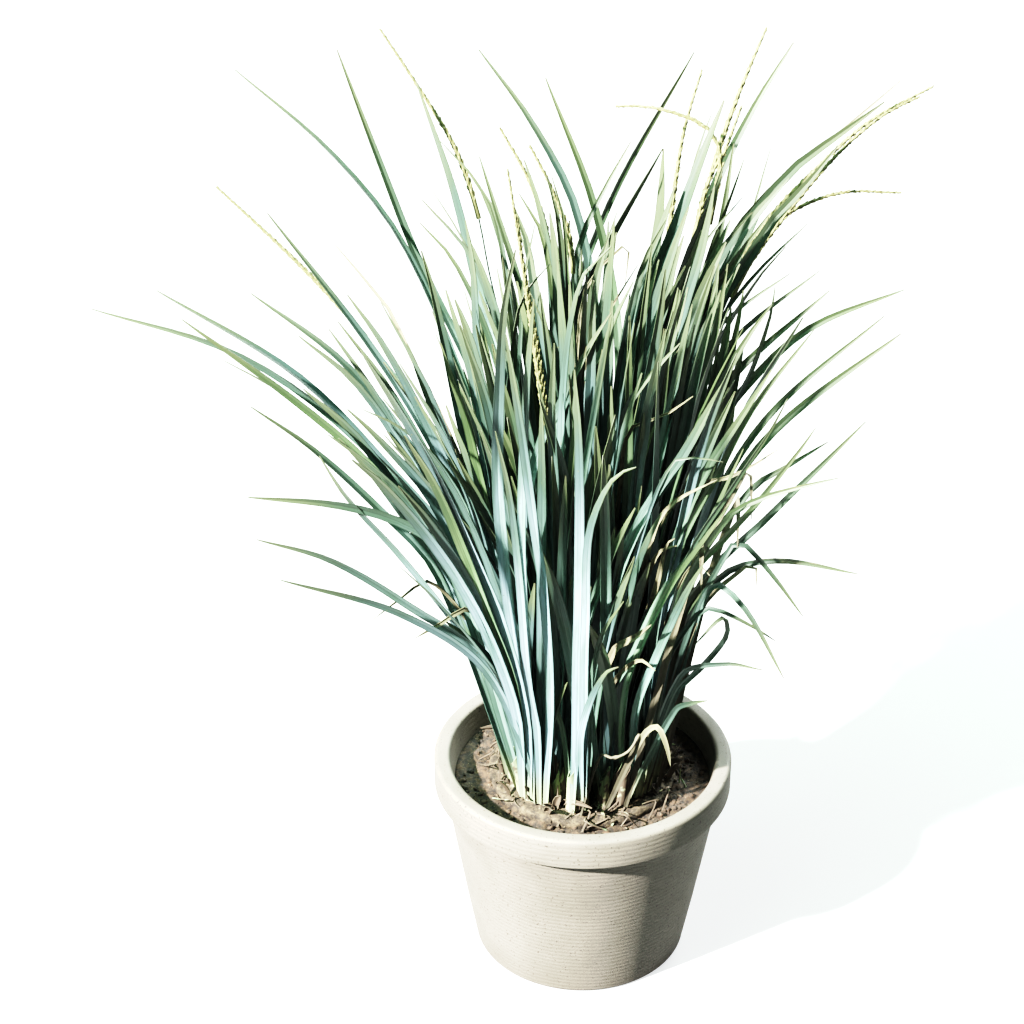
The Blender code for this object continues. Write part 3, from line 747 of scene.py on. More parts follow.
TOP_STRANDS = (
    Strand(130, 30, 92, 5.0, 0.72, 0, ((575, 680), (560, 500), (540, 390), (509, 289), (490, 228))),
    Strand(150, 42, 100, 4.5, 0.60, 0, ((560, 700), (545, 540), (525, 400), (507, 293), (480, 246))),
    Strand(100, 15, 60, 3.5, 0.80, 0, ((600, 700), (592, 450), (586, 303), (572, 250))),
    Strand(120, 18, 50, 4.6, 0.85, 0, ((590, 650), (580, 450), (562, 319), (535, 270))),
    Strand(180, 25, 40, 3.0, 0.60, 0, ((530, 560), (536, 450), (541, 366), (553, 305))),
    Strand(200, 30, 20, 4.0, 0.60, 20, ((520, 560), (530, 420), (543, 381), (570, 350))),
    Strand(0, 5, 10, 3.0, 0.50, 0, ((600, 560), (578, 446), (562, 415), (547, 381))),
    Strand(90, 10, 60, 3.0, 0.60, 0, ((600, 700), (604, 520), (615, 390), (647, 289))),
    Strand(70, 12, 50, 2.4, 0.30, 0, (
        (596, 640), (605, 400), (619, 362), (643, 340), (659, 325), (658, 352), (655, 375)), 1),
    Strand(40, 10, 30, 2.6, 0.20, 0, ((600, 600), (610, 470), (631, 415), (658, 370), (672, 348)), 1),
    Strand(160, 18, 105, 5.0, 0.60, 10, ((590, 640), (594, 450), (602, 334), (627, 274), (662, 211))),
    Strand(170, 30, 85, 6.6, 0.48, 30, ((560, 700), (572, 520), (594, 415), (635, 328), (698, 219))),
    Strand(60, 42, 95, 7.0, 0.62, 0, ((655, 620), (668, 480), (684, 374), (694, 293), (699, 219))),
    Strand(110, 20, 70, 7.0, 0.30, 0, ((600, 700), (594, 520), (586, 374), (578, 293), (566, 250))),
    Strand(140, 22, 60, 6.4, 0.22, 0, ((585, 700), (570, 520), (556, 420), (545, 330), (528, 282))),
    Strand(60, 46, 130, 6.0, 0.86, 0, ((668, 620), (715, 450), (753, 354), (766, 297), (779, 213))),
    Strand(66, 40, 125, 3.0, 0.60, 0, ((660, 600), (700, 400), (725, 272), (743, 207), (754, 179))),
    Strand(48, 42, 115, 3.2, 0.80, 0, ((690, 560), (750, 340), (772, 283), (791, 230))),
    Strand(54, 36, 100, 3.0, 0.50, 0, ((660, 600), (720, 380), (743, 330), (789, 274))),
    Strand(70, 40, 125, 7.6, 0.50, 70, ((640, 640), (690, 460), (721, 364), (741, 293), (762, 252))),
    Strand(50, 26, 85, 6.6, 0.20, 0, ((640, 640), (665, 460), (688, 379), (725, 283))),
    Strand(40, 34, 95, 5.0, 0.40, 20, ((680, 600), (720, 420), (751, 350), (800, 291))),
    Strand(26, 36, 80, 6.0, 0.86, 0, ((650, 680), (690, 540), (741, 405), (780, 346), (820, 292))),
    Strand(340, 20, 30, 6.4, 0.16, 0, ((640, 740), (650, 600), (668, 480), (700, 400), (724, 352))),
    Strand(20, 18, 60, 6.0, 0.30, 10, ((628, 740), (640, 560), (655, 440), (676, 350), (702, 300))),
)
RIGHT_STRANDS = (
    Strand(44, 44, 120, 2.6, 0.70, 0, ((700, 560), (750, 400), (790, 320), (821, 218))),
    Strand(42, 46, 130, 3.0, 0.40, 0, ((700, 520), (760, 345), (820, 265), (900, 200), (975, 136)), 0.8),
    Strand(36, 40, 100, 3.0, 0.60, 0, ((700, 560), (760, 420), (805, 360), (863, 304))),
    Strand(30, 42, 80, 3.4, 0.70, 0, ((700, 600), (740, 450), (780, 405), (844, 360))),
    Strand(18, 44, 50, 4.0, 0.55, 30, ((710, 640), (760, 540), (795, 480), (820, 410), (826, 375))),
    Strand(336, 50, -40, 4.4, 0.92, 10, ((715, 680), (760, 590), (800, 515), (870, 425))),
    Strand(14, 36, 30, 3.4, 0.70, 0, ((700, 640), (745, 530), (775, 465), (789, 438))),
    Strand(322, 52, -66, 3.6, 0.80, 10, ((720, 700), (780, 600), (820, 540), (840, 503))),
    Strand(318, 54, -78, 4.0, 0.95, 0, ((720, 720), (770, 660), (805, 622), (855, 560), (872, 536))),
    Strand(314, 54, -86, 4.0, 0.95, 0, ((720, 730), (770, 640), (805, 618), (860, 602), (898, 593)), 0.3),
    Strand(326, 30, -60, 3.4, 0.30, 0, ((670, 700), (715, 615), (740, 600), (780, 590), (829, 561)), 1),
    Strand(322, 52, -50, 3.4, 0.64, 0, ((730, 760), (770, 680), (785, 665), (820, 700), (858, 751)), 0.2),
    Strand(314, 52, -60, 3.6, 0.60, 0, ((700, 810), (740, 745), (757, 742), (800, 762), (826, 778)), 0.2),
    Strand(312, 30, -60, 2.6, 0.08, 0, ((650, 760), (680, 640), (711, 574), (735, 570), (767, 575))),
    Strand(320, 24, -40, 3.0, 0.40, 0, ((636, 740), (650, 600), (661, 538), (700, 522), (733, 500)), 1),
    Strand(306, 36, -84, 4.6, 0.10, 0, ((625, 850), (644, 788), (664, 776), (685, 760)), 1),
    Strand(320, 36, -78, 3.0, 0.30, 0, ((660, 780), (690, 650), (711, 621), (760, 595)), 1),
    Strand(332, 52, -35, 3.6, 0.90, 0, ((735, 700), (785, 600), (797, 584), (799, 640)), 1),
    Strand(320, 54, -50, 3.4, 0.80, 0, ((740, 745), (795, 692), (804, 694), (804, 718)), 1),
    Strand(330, 50, -50, 5.6, 0.75, 10, ((690, 760), (715, 660), (745, 590), (790, 520), (822, 470))),
    Strand(4, 40, 30, 5.6, 0.70, 0, ((685, 740), (712, 620), (748, 520), (790, 440), (822, 396))),
    Strand(324, 24, -60, 4.4, 0.20, 0, ((640, 860), (660, 770), (682, 700), (696, 676), (714, 670)), 1),
    Strand(316, 24, -66, 3.6, 0.10, 0, ((636, 870), (660, 800), (690, 720), (703, 668), (712, 662)), 1),
    Strand(330, 30, -74, 3.0, 0.30, 0, ((690, 800), (716, 720), (736, 690), (752, 704)), 1),
    Strand(300, 32, -90, 3.0, 0.20, 0, ((628, 860), (646, 820), (672, 800), (690, 812)), 1),
    Strand(24, 44, 70, 5.6, 0.50, 30, ((680, 700), (720, 540), (760, 440), (806, 366), (838, 330))),
)
BODY_STRANDS = (
    Strand(158, 26, 50, 7.4, 0.30, 26, (
        (500, 700), (476, 560), (468, 526), (451, 444), (435, 373), (424, 335))),
    Strand(130, 16, 60, 7.0, 0.25, 0, ((548, 680), (530, 530), (511, 413), (492, 354), (476, 318))),
    Strand(172, 20, 30, 6.8, 0.12, 0, (
        (512, 700), (494, 546), (490, 485), (486, 403), (482, 346), (474, 300))),
    Strand(118, 10, 70, 7.2, 0.55, 0, (
        (580, 640), (578, 500), (576, 424), (570, 342), (557, 281), (541, 232))),
    Strand(84, 6, 40, 9.0, 0.30, -8, (
        (590, 640), (582, 540), (580, 464), (581, 403), (577, 340), (570, 292))),
    Strand(60, 8, 30, 8.4, 0.22, -12, (
        (606, 700), (605, 560), (609, 485), (614, 424), (624, 362), (636, 322))),
    Strand(215, 25, -20, 6.4, 0.35, 0, ((545, 640), (557, 560), (574, 526), (615, 444), (640, 405))),
    Strand(50, 22, 60, 9.0, 0.25, -10, (
        (618, 680), (635, 560), (655, 495), (676, 434), (700, 366), (716, 330))),
    Strand(320, 14, 10, 7.2, 0.06, -14, ((640, 660), (662, 560), (676, 505), (700, 466), (722, 440))),
    Strand(62, 38, 92, 10.5, 0.66, -12, (
        (652, 640), (668, 520), (682, 404), (688, 350), (696, 290), (699, 223))),
    Strand(56, 34, 90, 9.5, 0.55, 44, (
        (655, 640), (690, 470), (727, 343), (740, 313), (754, 278), (766, 240))),
    Strand(44, 44, 118, 7.0, 0.76, 16, (
        (690, 600), (726, 450), (780, 345), (804, 291), (828, 261), (855, 234), (897, 204), (950, 166))),
    Strand(40, 42, 105, 7.4, 0.66, 8, (
        (690, 640), (735, 480), (760, 400), (780, 366), (798, 339), (828, 294), (855, 267), (897, 216))),
    Strand(58, 30, 78, 9.4, 0.34, -16, (
        (645, 640), (660, 480), (672, 414), (693, 360), (717, 300), (735, 250), (752, 205), (768, 164))),
    Strand(64, 24, 66, 8.6, 0.28, -18, (
        (636, 640), (652, 480), (664, 410), (682, 350), (700, 300), (712, 262))),
    Strand(36, 32, 66, 8.4, 0.30, -12, (
        (665, 640), (690, 510), (712, 440), (735, 384), (757, 340), (775, 300))),
    Strand(20, 36, 50, 6.8, 0.80, 0, (
        (700, 680), (745, 580), (768, 500), (776, 455), (784, 415), (790, 380))),
    Strand(34, 30, 70, 7.4, 0.40, -8, (
        (680, 660), (700, 540), (723, 455), (740, 404), (754, 364), (765, 330))),
    Strand(210, 12, 0, 7.0, 0.40, -6, ((575, 560), (591, 500), (621, 466), (648, 404), (665, 370))),
    Strand(40, 20, 40, 8.0, 0.25, -12, ((640, 640), (656, 500), (674, 425), (684, 384), (694, 345))),
    Strand(46, 28, 60, 7.6, 0.50, -10, (
        (655, 640), (674, 500), (682, 455), (699, 404), (709, 360), (722, 318))),
    Strand(30, 34, 50, 7.0, 0.30, -10, (
        (705, 660), (735, 540), (744, 500), (748, 455), (752, 410), (760, 372))),
    Strand(200, 34, -30, 6.6, 0.15, -16, (
        (505, 760), (470, 680), (441, 626), (426, 603), (399, 573), (363, 536), (340, 515))),
    Strand(196, 30, -10, 6.0, 0.25, 20, (
        (515, 760), (480, 700), (456, 662), (433, 604), (406, 568), (385, 540))),
    Strand(170, 24, 20, 7.2, 0.30, 16, (
        (520, 720), (491, 646), (466, 580), (441, 521), (424, 480), (408, 440))),
    Strand(165, 20, 20, 6.6, 0.92, -10, (
        (530, 720), (505, 650), (491, 596), (476, 530), (459, 480), (446, 440))),
    Strand(180, 14, 10, 8.0, 0.20, -14, (
        (535, 700), (515, 600), (500, 530), (491, 480), (478, 430), (462, 390))),
    Strand(16, 40, 46, 8.6, 0.60, 6, ((694, 720), (726, 620), (748, 540), (764, 470), (776, 400))),
    Strand(8, 42, 36, 8.4, 0.50, 0, ((700, 740), (732, 650), (756, 570), (776, 500), (790, 440))),
    Strand(350, 42, 12, 8.2, 0.66, 8, ((700, 760), (732, 680), (752, 620), (768, 560), (780, 510))),
    Strand(0, 36, 30, 8.0, 0.40, -4, ((690, 740), (716, 650), (738, 570), (752, 500), (762, 440))),
    Strand(340, 40, -4, 8.0, 0.55, 4, ((690, 790), (718, 710), (738, 650), (752, 600), (762, 560))),
    Strand(28, 36, 60, 8.4, 0.30, -6, ((684, 700), (712, 600), (734, 510), (750, 430), (762, 350))),
    Strand(344, 30, 10, 8.0, 0.20, -10, ((672, 780), (696, 690), (716, 610), (728, 540), (738, 480))),
    Strand(30, 30, 14, 7.2, 0.35, 6, ((668, 700), (700, 560), (722, 470), (742, 400), (757, 352))),
    Strand(346, 34, -6, 7.0, 0.50, 0, ((684, 720), (711, 600), (731, 500), (748, 430), (764, 380))),
    Strand(334, 30, -16, 6.8, 0.30, 10, ((664, 720), (688, 600), (708, 510), (722, 440), (732, 396))),
    Strand(10, 26, 0, 7.4, 0.22, -6, ((650, 700), (672, 590), (692, 500), (708, 430), (718, 380))),
    Strand(40, 28, 30, 6.8, 0.60, 8, ((664, 640), (684, 520), (702, 440), (722, 370), (742, 312))),
    Strand(20, 36, 20, 6.4, 0.72, 0, ((700, 660), (728, 560), (746, 480), (760, 420), (772, 350))),
    Strand(30, 22, 20, 9.0, 0.25, 0, (
        (645, 640), (660, 540), (672, 470), (690, 400), (712, 330), (728, 285))),
    Strand(24, 30, 30, 9.0, 0.35, 0, (
        (668, 660), (690, 560), (708, 480), (729, 420), (748, 370), (770, 325))),
    Strand(18, 30, 24, 8.6, 0.20, 0, (
        (680, 660), (704, 560), (720, 500), (741, 440), (760, 400), (786, 350))),
    Strand(40, 32, 60, 9.0, 0.30, 0, (
        (672, 620), (700, 480), (722, 400), (741, 340), (750, 300), (757, 262))),
    Strand(48, 36, 84, 8.4, 0.40, 0, (
        (680, 600), (716, 460), (745, 384), (774, 336), (806, 292), (842, 252))),
    Strand(10, 24, 0, 8.2, 0.15, 0, (
        (650, 700), (668, 600), (676, 520), (688, 450), (696, 400), (701, 356))),
    Strand(190, 30, 0, 3.4, 0.30, 0, ((500, 740), (470, 660), (447, 620), (430, 585), (415, 560)), 1),
    Strand(186, 22, 10, 3.0, 0.20, 0, ((510, 740), (485, 660), (478, 620), (470, 590), (462, 560)), 1),
)


# A dead leaf's depth grows with this power of its length
DROOP_POWER = 2.5


def strand_spine(strand, stations, bunch=1.2):
    """The middle line of a listed leaf. Its depth grows evenly, or mostly near the tip of a dead one."""
    foot = polar(strand.bearing, strand.radius / MM_PER_METRE, FOOT_HEIGHT)
    foot_above = foot.y * math.sin(VIEW_ELEVATION)
    start = (CROWN_PIXEL[0] + foot.x / METRES_PER_PIXEL, CROWN_PIXEL[1] - foot_above / METRES_PER_PIXEL)
    walked, steps = 0.0, []
    for pixel in strand.pixels:
        walked += math.dist(start, pixel)
        steps.append(walked)
        start = pixel
    points = [foot]
    for pixel, step in zip(strand.pixels, steps):
        share = (step / walked) ** (DROOP_POWER if strand.dry == 1 else 1)
        points.append(at(pixel, foot.y + (strand.depth / MM_PER_METRE - foot.y) * share))
    return smooth_path(points, stations, bunch)


# Each group is turned some degrees towards the key light, and its leaves differ by chance, the front least
Group = namedtuple("Group", "strands turn unrest")
GROUPS = (
    Group(FRONT_STRANDS, -32, 0.2),
    Group(LEFT_STRANDS, -32, 1),
    Group(TOP_STRANDS, 8, 1),
    Group(RIGHT_STRANDS, 8, 1),
    Group(BODY_STRANDS, -12, 1),
)
print("leaves placed by hand:", sum(len(group.strands) for group in GROUPS))

# %% [markdown]
# ## The shoots
# Each shoot of the frame is a bundle. It is filled with small fans: three or four leaves that rise from one
# sheath, lean the way the bundle leans, and arch over at their own height. A seeded random generator gives
# each leaf its own length, lean and twist, so the clump is full from every side and comes out the same each
# time. A listed leaf joins the bundle whose foot is nearest.

# %% Shoots
Shoot = namedtuple("Shoot", "bearing radius reach height fans")

SHOOTS = (
    Shoot(0, 0.000, 0.010, 0.440, 6),
    *(Shoot(bearing, 0.020, 0.062, 0.430, 5) for bearing in (34, 106, 178, 250, 322)),
    *(Shoot(bearing, 0.040, 0.100, 0.400, 5) for bearing in (8, 44)),
    *(Shoot(bearing, 0.040, 0.125, 0.390, 5) for bearing in (80, 116, 152, 188, 332)),
    *(Shoot(bearing, 0.040, 0.160, 0.360, 5) for bearing in (224, 260, 296)),
)
# The leaves that lean towards the camera are held back, so that the listed ones stand in front of them
FRONT_REACH = 0.42
LEAST_REACH = 0.008
MOST_REACH = 0.168
DEAD_SHARE = 0.012
LEAF_SLOTS = (LEAF, STRAW, SHEATH)
STRAW_SLOT, SHEATH_SLOT = 1, 2
SHEATH_SLANT = 0.006
FAN_STATIONS = 13
STRAND_STATIONS = 22
# A folded leaf shows less than its width, and the lists give the width that shows
STRAND_ALLOWANCE = 1.12


def arching_path(foot, bearing, reach, height, sideways, stations):
    """A leaf that starts steep, leans outwards and nods, with its tip at reach from the clump's axis."""
    outwards = polar(bearing, 1)
    across = Vector((-outwards.y, outwards.x, 0))
    start = foot.dot(outwards)
    points = []
    for s in (0, 0.25, 0.5, 0.75, 1):
        out = (reach - start) * (0.50 * s + 0.50 * s**2.4)
        up = height * (1.28 * s - 0.28 * s**2.3)
        points.append(foot + outwards * out + across * sideways * s**1.5 + Vector((0, 0, up)))
    return smooth_path(points, stations, 1.25)


def add_sheath(mesh, foot, lean, radius, height, tone):
    """The sheath that wraps a fan's foot: a narrow tube, open at its top and cut aslant."""
    stations = 5
    top = foot + lean * height
    spine = smooth_path([foot - Vector((0, 0, 0.003)), foot.lerp(top, 0.5), top], stations)

    def place(i, u, share):
        angle = math.pi * u
        swell = radius * (1.15 - 0.35 * share)
        slant = Vector((0, 0, SHEATH_SLANT * math.cos(angle))) * (share**3)
        return spine[i] + Vector((math.cos(angle), math.sin(angle), 0)) * swell + slant

    verts = lay_sheet(mesh, spine, 8, place, (tone, 0), 2 * math.pi * radius, SHEATH_SLOT)
    bmesh.ops.remove_doubles(mesh, verts=verts, dist=1e-6)


# The sheaths that show at the front: bearing, then radius, thickness and height in millimetres, and tone
Foot = namedtuple("Foot", "bearing radius thickness height tone")
FRONT_FEET = (
    Foot(262, 51, 4.4, 36, 0.10), Foot(226, 50, 4.8, 44, 0.15), Foot(217, 49, 4.0, 38, 0.30),
    Foot(235, 50, 4.2, 40, 0.20), Foot(208, 51, 3.4, 32, 0.52), Foot(284, 49, 3.6, 30, 0.45),
    Foot(299, 50, 4.0, 26, 0.70), Foot(316, 50, 3.6, 30, 0.60), Foot(250, 44, 3.8, 24, 0.62),
)


def grow_fan(mesh, shoot, centre, tone):
    """Three or four leaves in one sheath."""
    for _ in range(chance.choice((3, 4, 4))):
        bearing = shoot.bearing + chance.gauss(0, 16 if shoot.radius > 0.03 else 34)
        if shoot.radius == 0:
            bearing = chance.uniform(0, 360)
        vigour = 0.40 + 0.50 * chance.random() ** 1.1
        reach = shoot.reach * chance.uniform(0.55, 1.12) + chance.gauss(0, 0.012)
        reach = min(MOST_REACH, max(LEAST_REACH, reach))
        if math.sin(math.radians(bearing)) < -0.6:
            reach *= FRONT_REACH
        height = shoot.height * vigour
        foot = centre + Vector((chance.uniform(-0.002, 0.002), chance.uniform(-0.002, 0.002), 0))
        spine = arching_path(foot, bearing, reach * (0.55 + 0.45 * vigour), height, chance.gauss(0, 0.022),
                             FAN_STATIONS)
        facing = polar(bearing, 1) + to_viewer(spine) * 0.7
        dead = chance.random() < DEAD_SHARE
        width = chance.uniform(0.0070, 0.0100) * (0.5 if dead else 1)
        add_leaf(mesh, spine, width, facing, math.radians(chance.gauss(3, 24)),
                 math.radians(chance.gauss(0, 22)), chance.uniform(0.28, 0.62), chance.uniform(5, 9),
                 tone=min(0.99, max(0.02, tone + chance.gauss(0, 0.14))), dry=chance.uniform(0, 0.16),
                 slot=STRAW_SLOT if dead else 0)


def nearest(leaf):
    """The shoot whose foot is nearest to the foot of a listed leaf or sheath."""
    foot = polar(leaf.bearing, leaf.radius / MM_PER_METRE)
    return min(SHOOTS, key=lambda shoot: (polar(shoot.bearing, shoot.radius) - foot).length)


face_count = 0
for number, shoot in enumerate(SHOOTS, 1):
    name = f"tiller_{number:02d}"
    mesh = new_foliage()
    home = polar(shoot.bearing, shoot.radius, FOOT_HEIGHT)
    for fan in range(shoot.fans):
        centre = home + polar(360 * fan / shoot.fans + chance.uniform(-25, 25), chance.uniform(0.004, 0.0125))
        lean = polar(shoot.bearing, shoot.reach - shoot.radius, shoot.height * 1.3).normalized()
        tone = chance.betavariate(1.5, 1.7)
        add_sheath(mesh, centre, lean, chance.uniform(0.0028, 0.0038), chance.uniform(0.018, 0.042),
                   chance.uniform(0.1, 0.7))
        grow_fan(mesh, shoot, centre, tone)

    for foot in [each for each in FRONT_FEET if nearest(each) is shoot]:
        lean = polar(foot.bearing, 0.22, 1).normalized()
        add_sheath(mesh, polar(foot.bearing, foot.radius / MM_PER_METRE, FOOT_HEIGHT), lean,
                   foot.thickness / MM_PER_METRE, foot.height / MM_PER_METRE, foot.tone)
    for group in GROUPS:
        for strand in [each for each in group.strands if nearest(each) is shoot]:
            spine = strand_spine(strand, STRAND_STATIONS)
            width = strand.width * STRAND_ALLOWANCE / MM_PER_METRE
            turn = strand.turn + group.turn + chance.gauss(0, 10) * group.unrest
            twist = strand.twist + chance.uniform(-18, 18)
            taper = chance.uniform(6, 10)
            add_leaf(mesh, spine, width, to_viewer(spine), math.radians(turn), math.radians(twist), LEAF_FOLD,
                     taper, tone=strand.tone, dry=strand.dry or chance.uniform(0, 0.11) * group.unrest,
                     slot=STRAW_SLOT if strand.dry == 1 else 0)
    face_count += len(mesh.faces)
    close_piece(mesh, name + "_leaves", LEAF_SLOTS, "leaf", name, thickness=LEAF_THICKNESS)
print("shoots:", len(SHOOTS), "leaf faces:", face_count)

# %% [markdown]
# ## Flower stems
# A sedge's flower spike is a thin stem packed with small pointed scales, each about 5 mm long and set a
# good third of a turn on from the last. Separate scales catch the light one by one, which a bumpy tube
# doesn't, and that is what makes the speckled look. Each scale is a tiny spindle of fifteen faces.

# %% Flower stems
STEM_RADIUS = 0.0010
CORE_RADIUS = 0.0019
STEM_STATIONS = 40
SCALE_LENGTH = 0.0050
SCALE_STEP = 0.0011
SCALE_OFFSET = 0.0009
SCALE_LEAN = 0.26
# A scale's half width, half depth and half length, as shares of its length
SCALE_SHAPE = (0.17, 0.13, 0.5)
# The angle from one scale to the next, in degrees
SCALE_TURN = 137

# Each stem's line, and the share of its length where its scales begin
FLOWER_STEMS = (
    (Blade(162, 0, ((505, 660, 0.060), (390, 470, 0.090), (300, 365, 0.105), (191, 262, 0.120))), 0.70),
    (Blade(126, 0, ((562, 600, 0.112), (510, 400, 0.140), (470, 235, 0.160), (377, 83, 0.180))), 0.72),
    (Blade(214, 0, (
        (578, 640, -0.022), (556, 470, -0.006), (536, 330, 0.006), (522, 242, 0.014)), 0.031), 0.58),
    (Blade(73, 0, ((654, 600, 0.108), (702, 340, 0.134), (720, 210, 0.144), (743, 129, 0.150))), 0.72),
    (Blade(56, 0, ((668, 600, 0.092), (740, 300, 0.128), (770, 195, 0.140), (816, 82, 0.150))), 0.80),
    (Blade(48, 0, (
        (682, 600, 0.084), (790, 340, 0.118), (860, 255, 0.126), (930, 190, 0.132), (1006, 148, 0.138),
    )), 0.66),
    (Blade(40, 0, (
        (690, 620, 0.082), (790, 335, 0.112), (850, 288, 0.118), (900, 269, 0.122), (969, 269, 0.126),
    )), 0.68),
)
# More spikes stand inside the clump: the stem that each joins, its line, and where its scales begin
INNER_SPIKES = (
    (1, Strand(200, 20, 82, 0, 0, 0, ((585, 760), (572, 440), (568, 323), (547, 256), (513, 195))), 0.78),
    (1, Strand(110, 14, 75, 0, 0, 0, ((594, 700), (596, 500), (594, 330), (572, 264), (547, 215))), 0.80),
    (3, Strand(205, 24, 16, 0, 0, 0, ((584, 700), (566, 520), (552, 420), (540, 350), (533, 296))), 0.60),
    (5, Strand(58, 44, 135, 0, 0, 0, ((665, 600), (715, 400), (751, 252), (766, 228), (788, 170))), 0.80),
    (5, Strand(50, 40, 122, 0, 0, 0, (
        (690, 560), (735, 380), (760, 262), (764, 225), (750, 196), (720, 181), (680, 171), (645, 171),
    )), 0.76),
    (6, Strand(46, 44, 132, 0, 0, 0, (
        (690, 590), (790, 362), (846, 284), (900, 222), (950, 180), (990, 160))), 0.66),
    (4, Strand(64, 34, 70, 0, 0, 0, ((660, 640), (700, 470), (728, 370), (738, 322))), 0.80),
    (4, Strand(80, 30, 60, 0, 0, 0, ((640, 640), (655, 520), (668, 440), (672, 400))), 0.84),
)


def add_scale(mesh, place, along, outwards, size, tone, dry):
    """One pointed flower scale that lies along its stem and leans a little away from it."""
    lean = (along + outwards * SCALE_LEAN).normalized()
    side = lean.cross(outwards).normalized()
    over = side.cross(lean)
    turn = Matrix((side, over, lean)).transposed().to_4x4()
    shape = Matrix.Diagonal((*[size * share for share in SCALE_SHAPE], 1))
    made = bmesh.ops.create_uvsphere(
        mesh, u_segments=5, v_segments=3, radius=1, matrix=Matrix.Translation(place) @ turn @ shape
    )
    own = mesh.verts.layers.float_vector["leaf"]
    for vert in made["verts"]:
        vert[own] = (0.5, tone, dry)


def add_flower_stem(mesh, spine, start):
    """A thin stem, and the scales on it past a share of its length."""
    last = len(spine) - 1
    add_tube(mesh, spine, [STEM_RADIUS * (1 - 0.55 * i / last) for i in range(last + 1)], slot=1, tone=0.75)
    core = spine[int(last * start):]
    radii = [CORE_RADIUS * (1 - 0.7 * i / len(core)) for i in range(len(core))]
    add_tube(mesh, core, radii, tone=0.6, dry=0.7)
    total = sum((b - a).length for a, b in zip(spine, spine[1:]))
    walked = total * start
    turn = chance.uniform(0, 360)
    scales = new_foliage()
    while walked < total - 0.001:
        share = walked / total * last
        i = min(int(share), last - 1)
        centre = spine[i].lerp(spine[i + 1], share - i)
        along = (spine[i + 1] - spine[i]).normalized()
        outwards = along.cross(Vector((0, 1, 0.2))).normalized()
        outwards.rotate(Matrix.Rotation(math.radians(turn), 3, along))
        spent = (walked - total * start) / (total - total * start)
        taper = (1.45 - 0.85 * spent) * min(1, 0.45 + spent * 5)
        size = SCALE_LENGTH * taper * chance.uniform(0.85, 1.15)
        place = centre + outwards * (SCALE_OFFSET * taper) + along * size * 0.3
        add_scale(scales, place, along, outwards, size, chance.random(), chance.random() ** 2)
        walked += SCALE_STEP
        turn += SCALE_TURN
    join(mesh, scales)


for number, (blade, start) in enumerate(FLOWER_STEMS, 1):
    name = f"flower_stem_{number:02d}"
    mesh = new_foliage()
    add_flower_stem(mesh, smooth_path(spine_of(blade, 12), STEM_STATIONS), start)
    for owner, strand, begin in INNER_SPIKES:
        if owner == number:
            add_flower_stem(mesh, strand_spine(strand, STEM_STATIONS, 1.0), begin)
    close_piece(mesh, name + "_spike", (SPIKE, LEAF), "spike", name)
print("flower stems:", len(FLOWER_STEMS) + len(INNER_SPIKES))

# %% [markdown]
# ## Dry leaves, the runner and the old sheath
# A dead leaf is the same grid as a living one, but narrower, flatter and folded over. The runner is a thin
# creeping stem with a swelling at each joint. The old sheath is a short brown stub, curled like bark.

# %% Dry pieces at the clump's edge
DEAD_LEAVES = (
    Blade(284, 0.0040, (
        (676, 886, -0.061), (692, 876, -0.067), (702, 896, -0.071), (707, 920, -0.073)), 0.057),
    Blade(330, 0.0046, (
        (752, 705, -0.030), (781, 622, -0.034), (784, 616, -0.040), (783, 672, -0.046)), 0.058, tone=0.9),
    Blade(298, 0.0046, (
        (712, 765, -0.060), (740, 672, -0.065), (742, 664, -0.070), (742, 721, -0.076)), 0.058, tone=0.8),
)
RUNNER = Blade(268, 0, (
    (628, 908, -0.062), (643, 911, -0.064), (660, 903, -0.063), (672, 884, -0.060)), 0.0595)
OLD_SHEATH = Blade(247, 0.0080, ((573, 925, -0.048), (572, 901, -0.048)), 0.051)
RUNNER_STATIONS = 30
RUNNER_RADIUS = 0.0010
RUNNER_SWELLING = 0.0005
# Stations from one joint of the runner to the next
RUNNER_JOINT = 7

for number, blade in enumerate(DEAD_LEAVES, 1):
    name = f"dead_leaf_{number:02d}"
    mesh = new_foliage()
    spine = spine_of(blade, 24)
    add_leaf(mesh, spine, blade.width, to_viewer(spine), math.radians(10), math.radians(-20), 0.25, 9,
             tone=blade.tone, dry=1)
    close_piece(mesh, name + "_blade", STRAW, "straw", name, thickness=LEAF_THICKNESS)

mesh = new_foliage()
spine = spine_of(RUNNER, RUNNER_STATIONS)
radii = [RUNNER_RADIUS + RUNNER_SWELLING * max(0.0, math.cos(math.tau * i / RUNNER_JOINT)) ** 8
         for i in range(RUNNER_STATIONS)]
add_tube(mesh, spine, radii, 8, tone=0.95, dry=1)
close_piece(mesh, "dry_runner_stem", STRAW, "straw", "dry_runner")

mesh = new_foliage()
spine = spine_of(OLD_SHEATH, 9)
add_leaf(mesh, spine, OLD_SHEATH.width, to_viewer(spine), 0.1, 0.2, 0.9, 12, foot=1, tone=0.95, columns=6)
close_piece(mesh, "old_sheath_stub", SHEATH, "sheath", "old_sheath", thickness=0.0006)
print("dry pieces:", len(DEAD_LEAVES) + 2)

# %% [markdown]
# ## Soil and crown
# The crown is where the shoots crowd together: a low dark mound, matted with old brown sheaths and fibres.
# The soil round it is crumbly compost. Both start as a profile spun round the pot's axis, so their rims
# stay round, and then noise roughens them. Loose crumbs are small spheres pushed out of shape and scattered
# with a seeded generator.

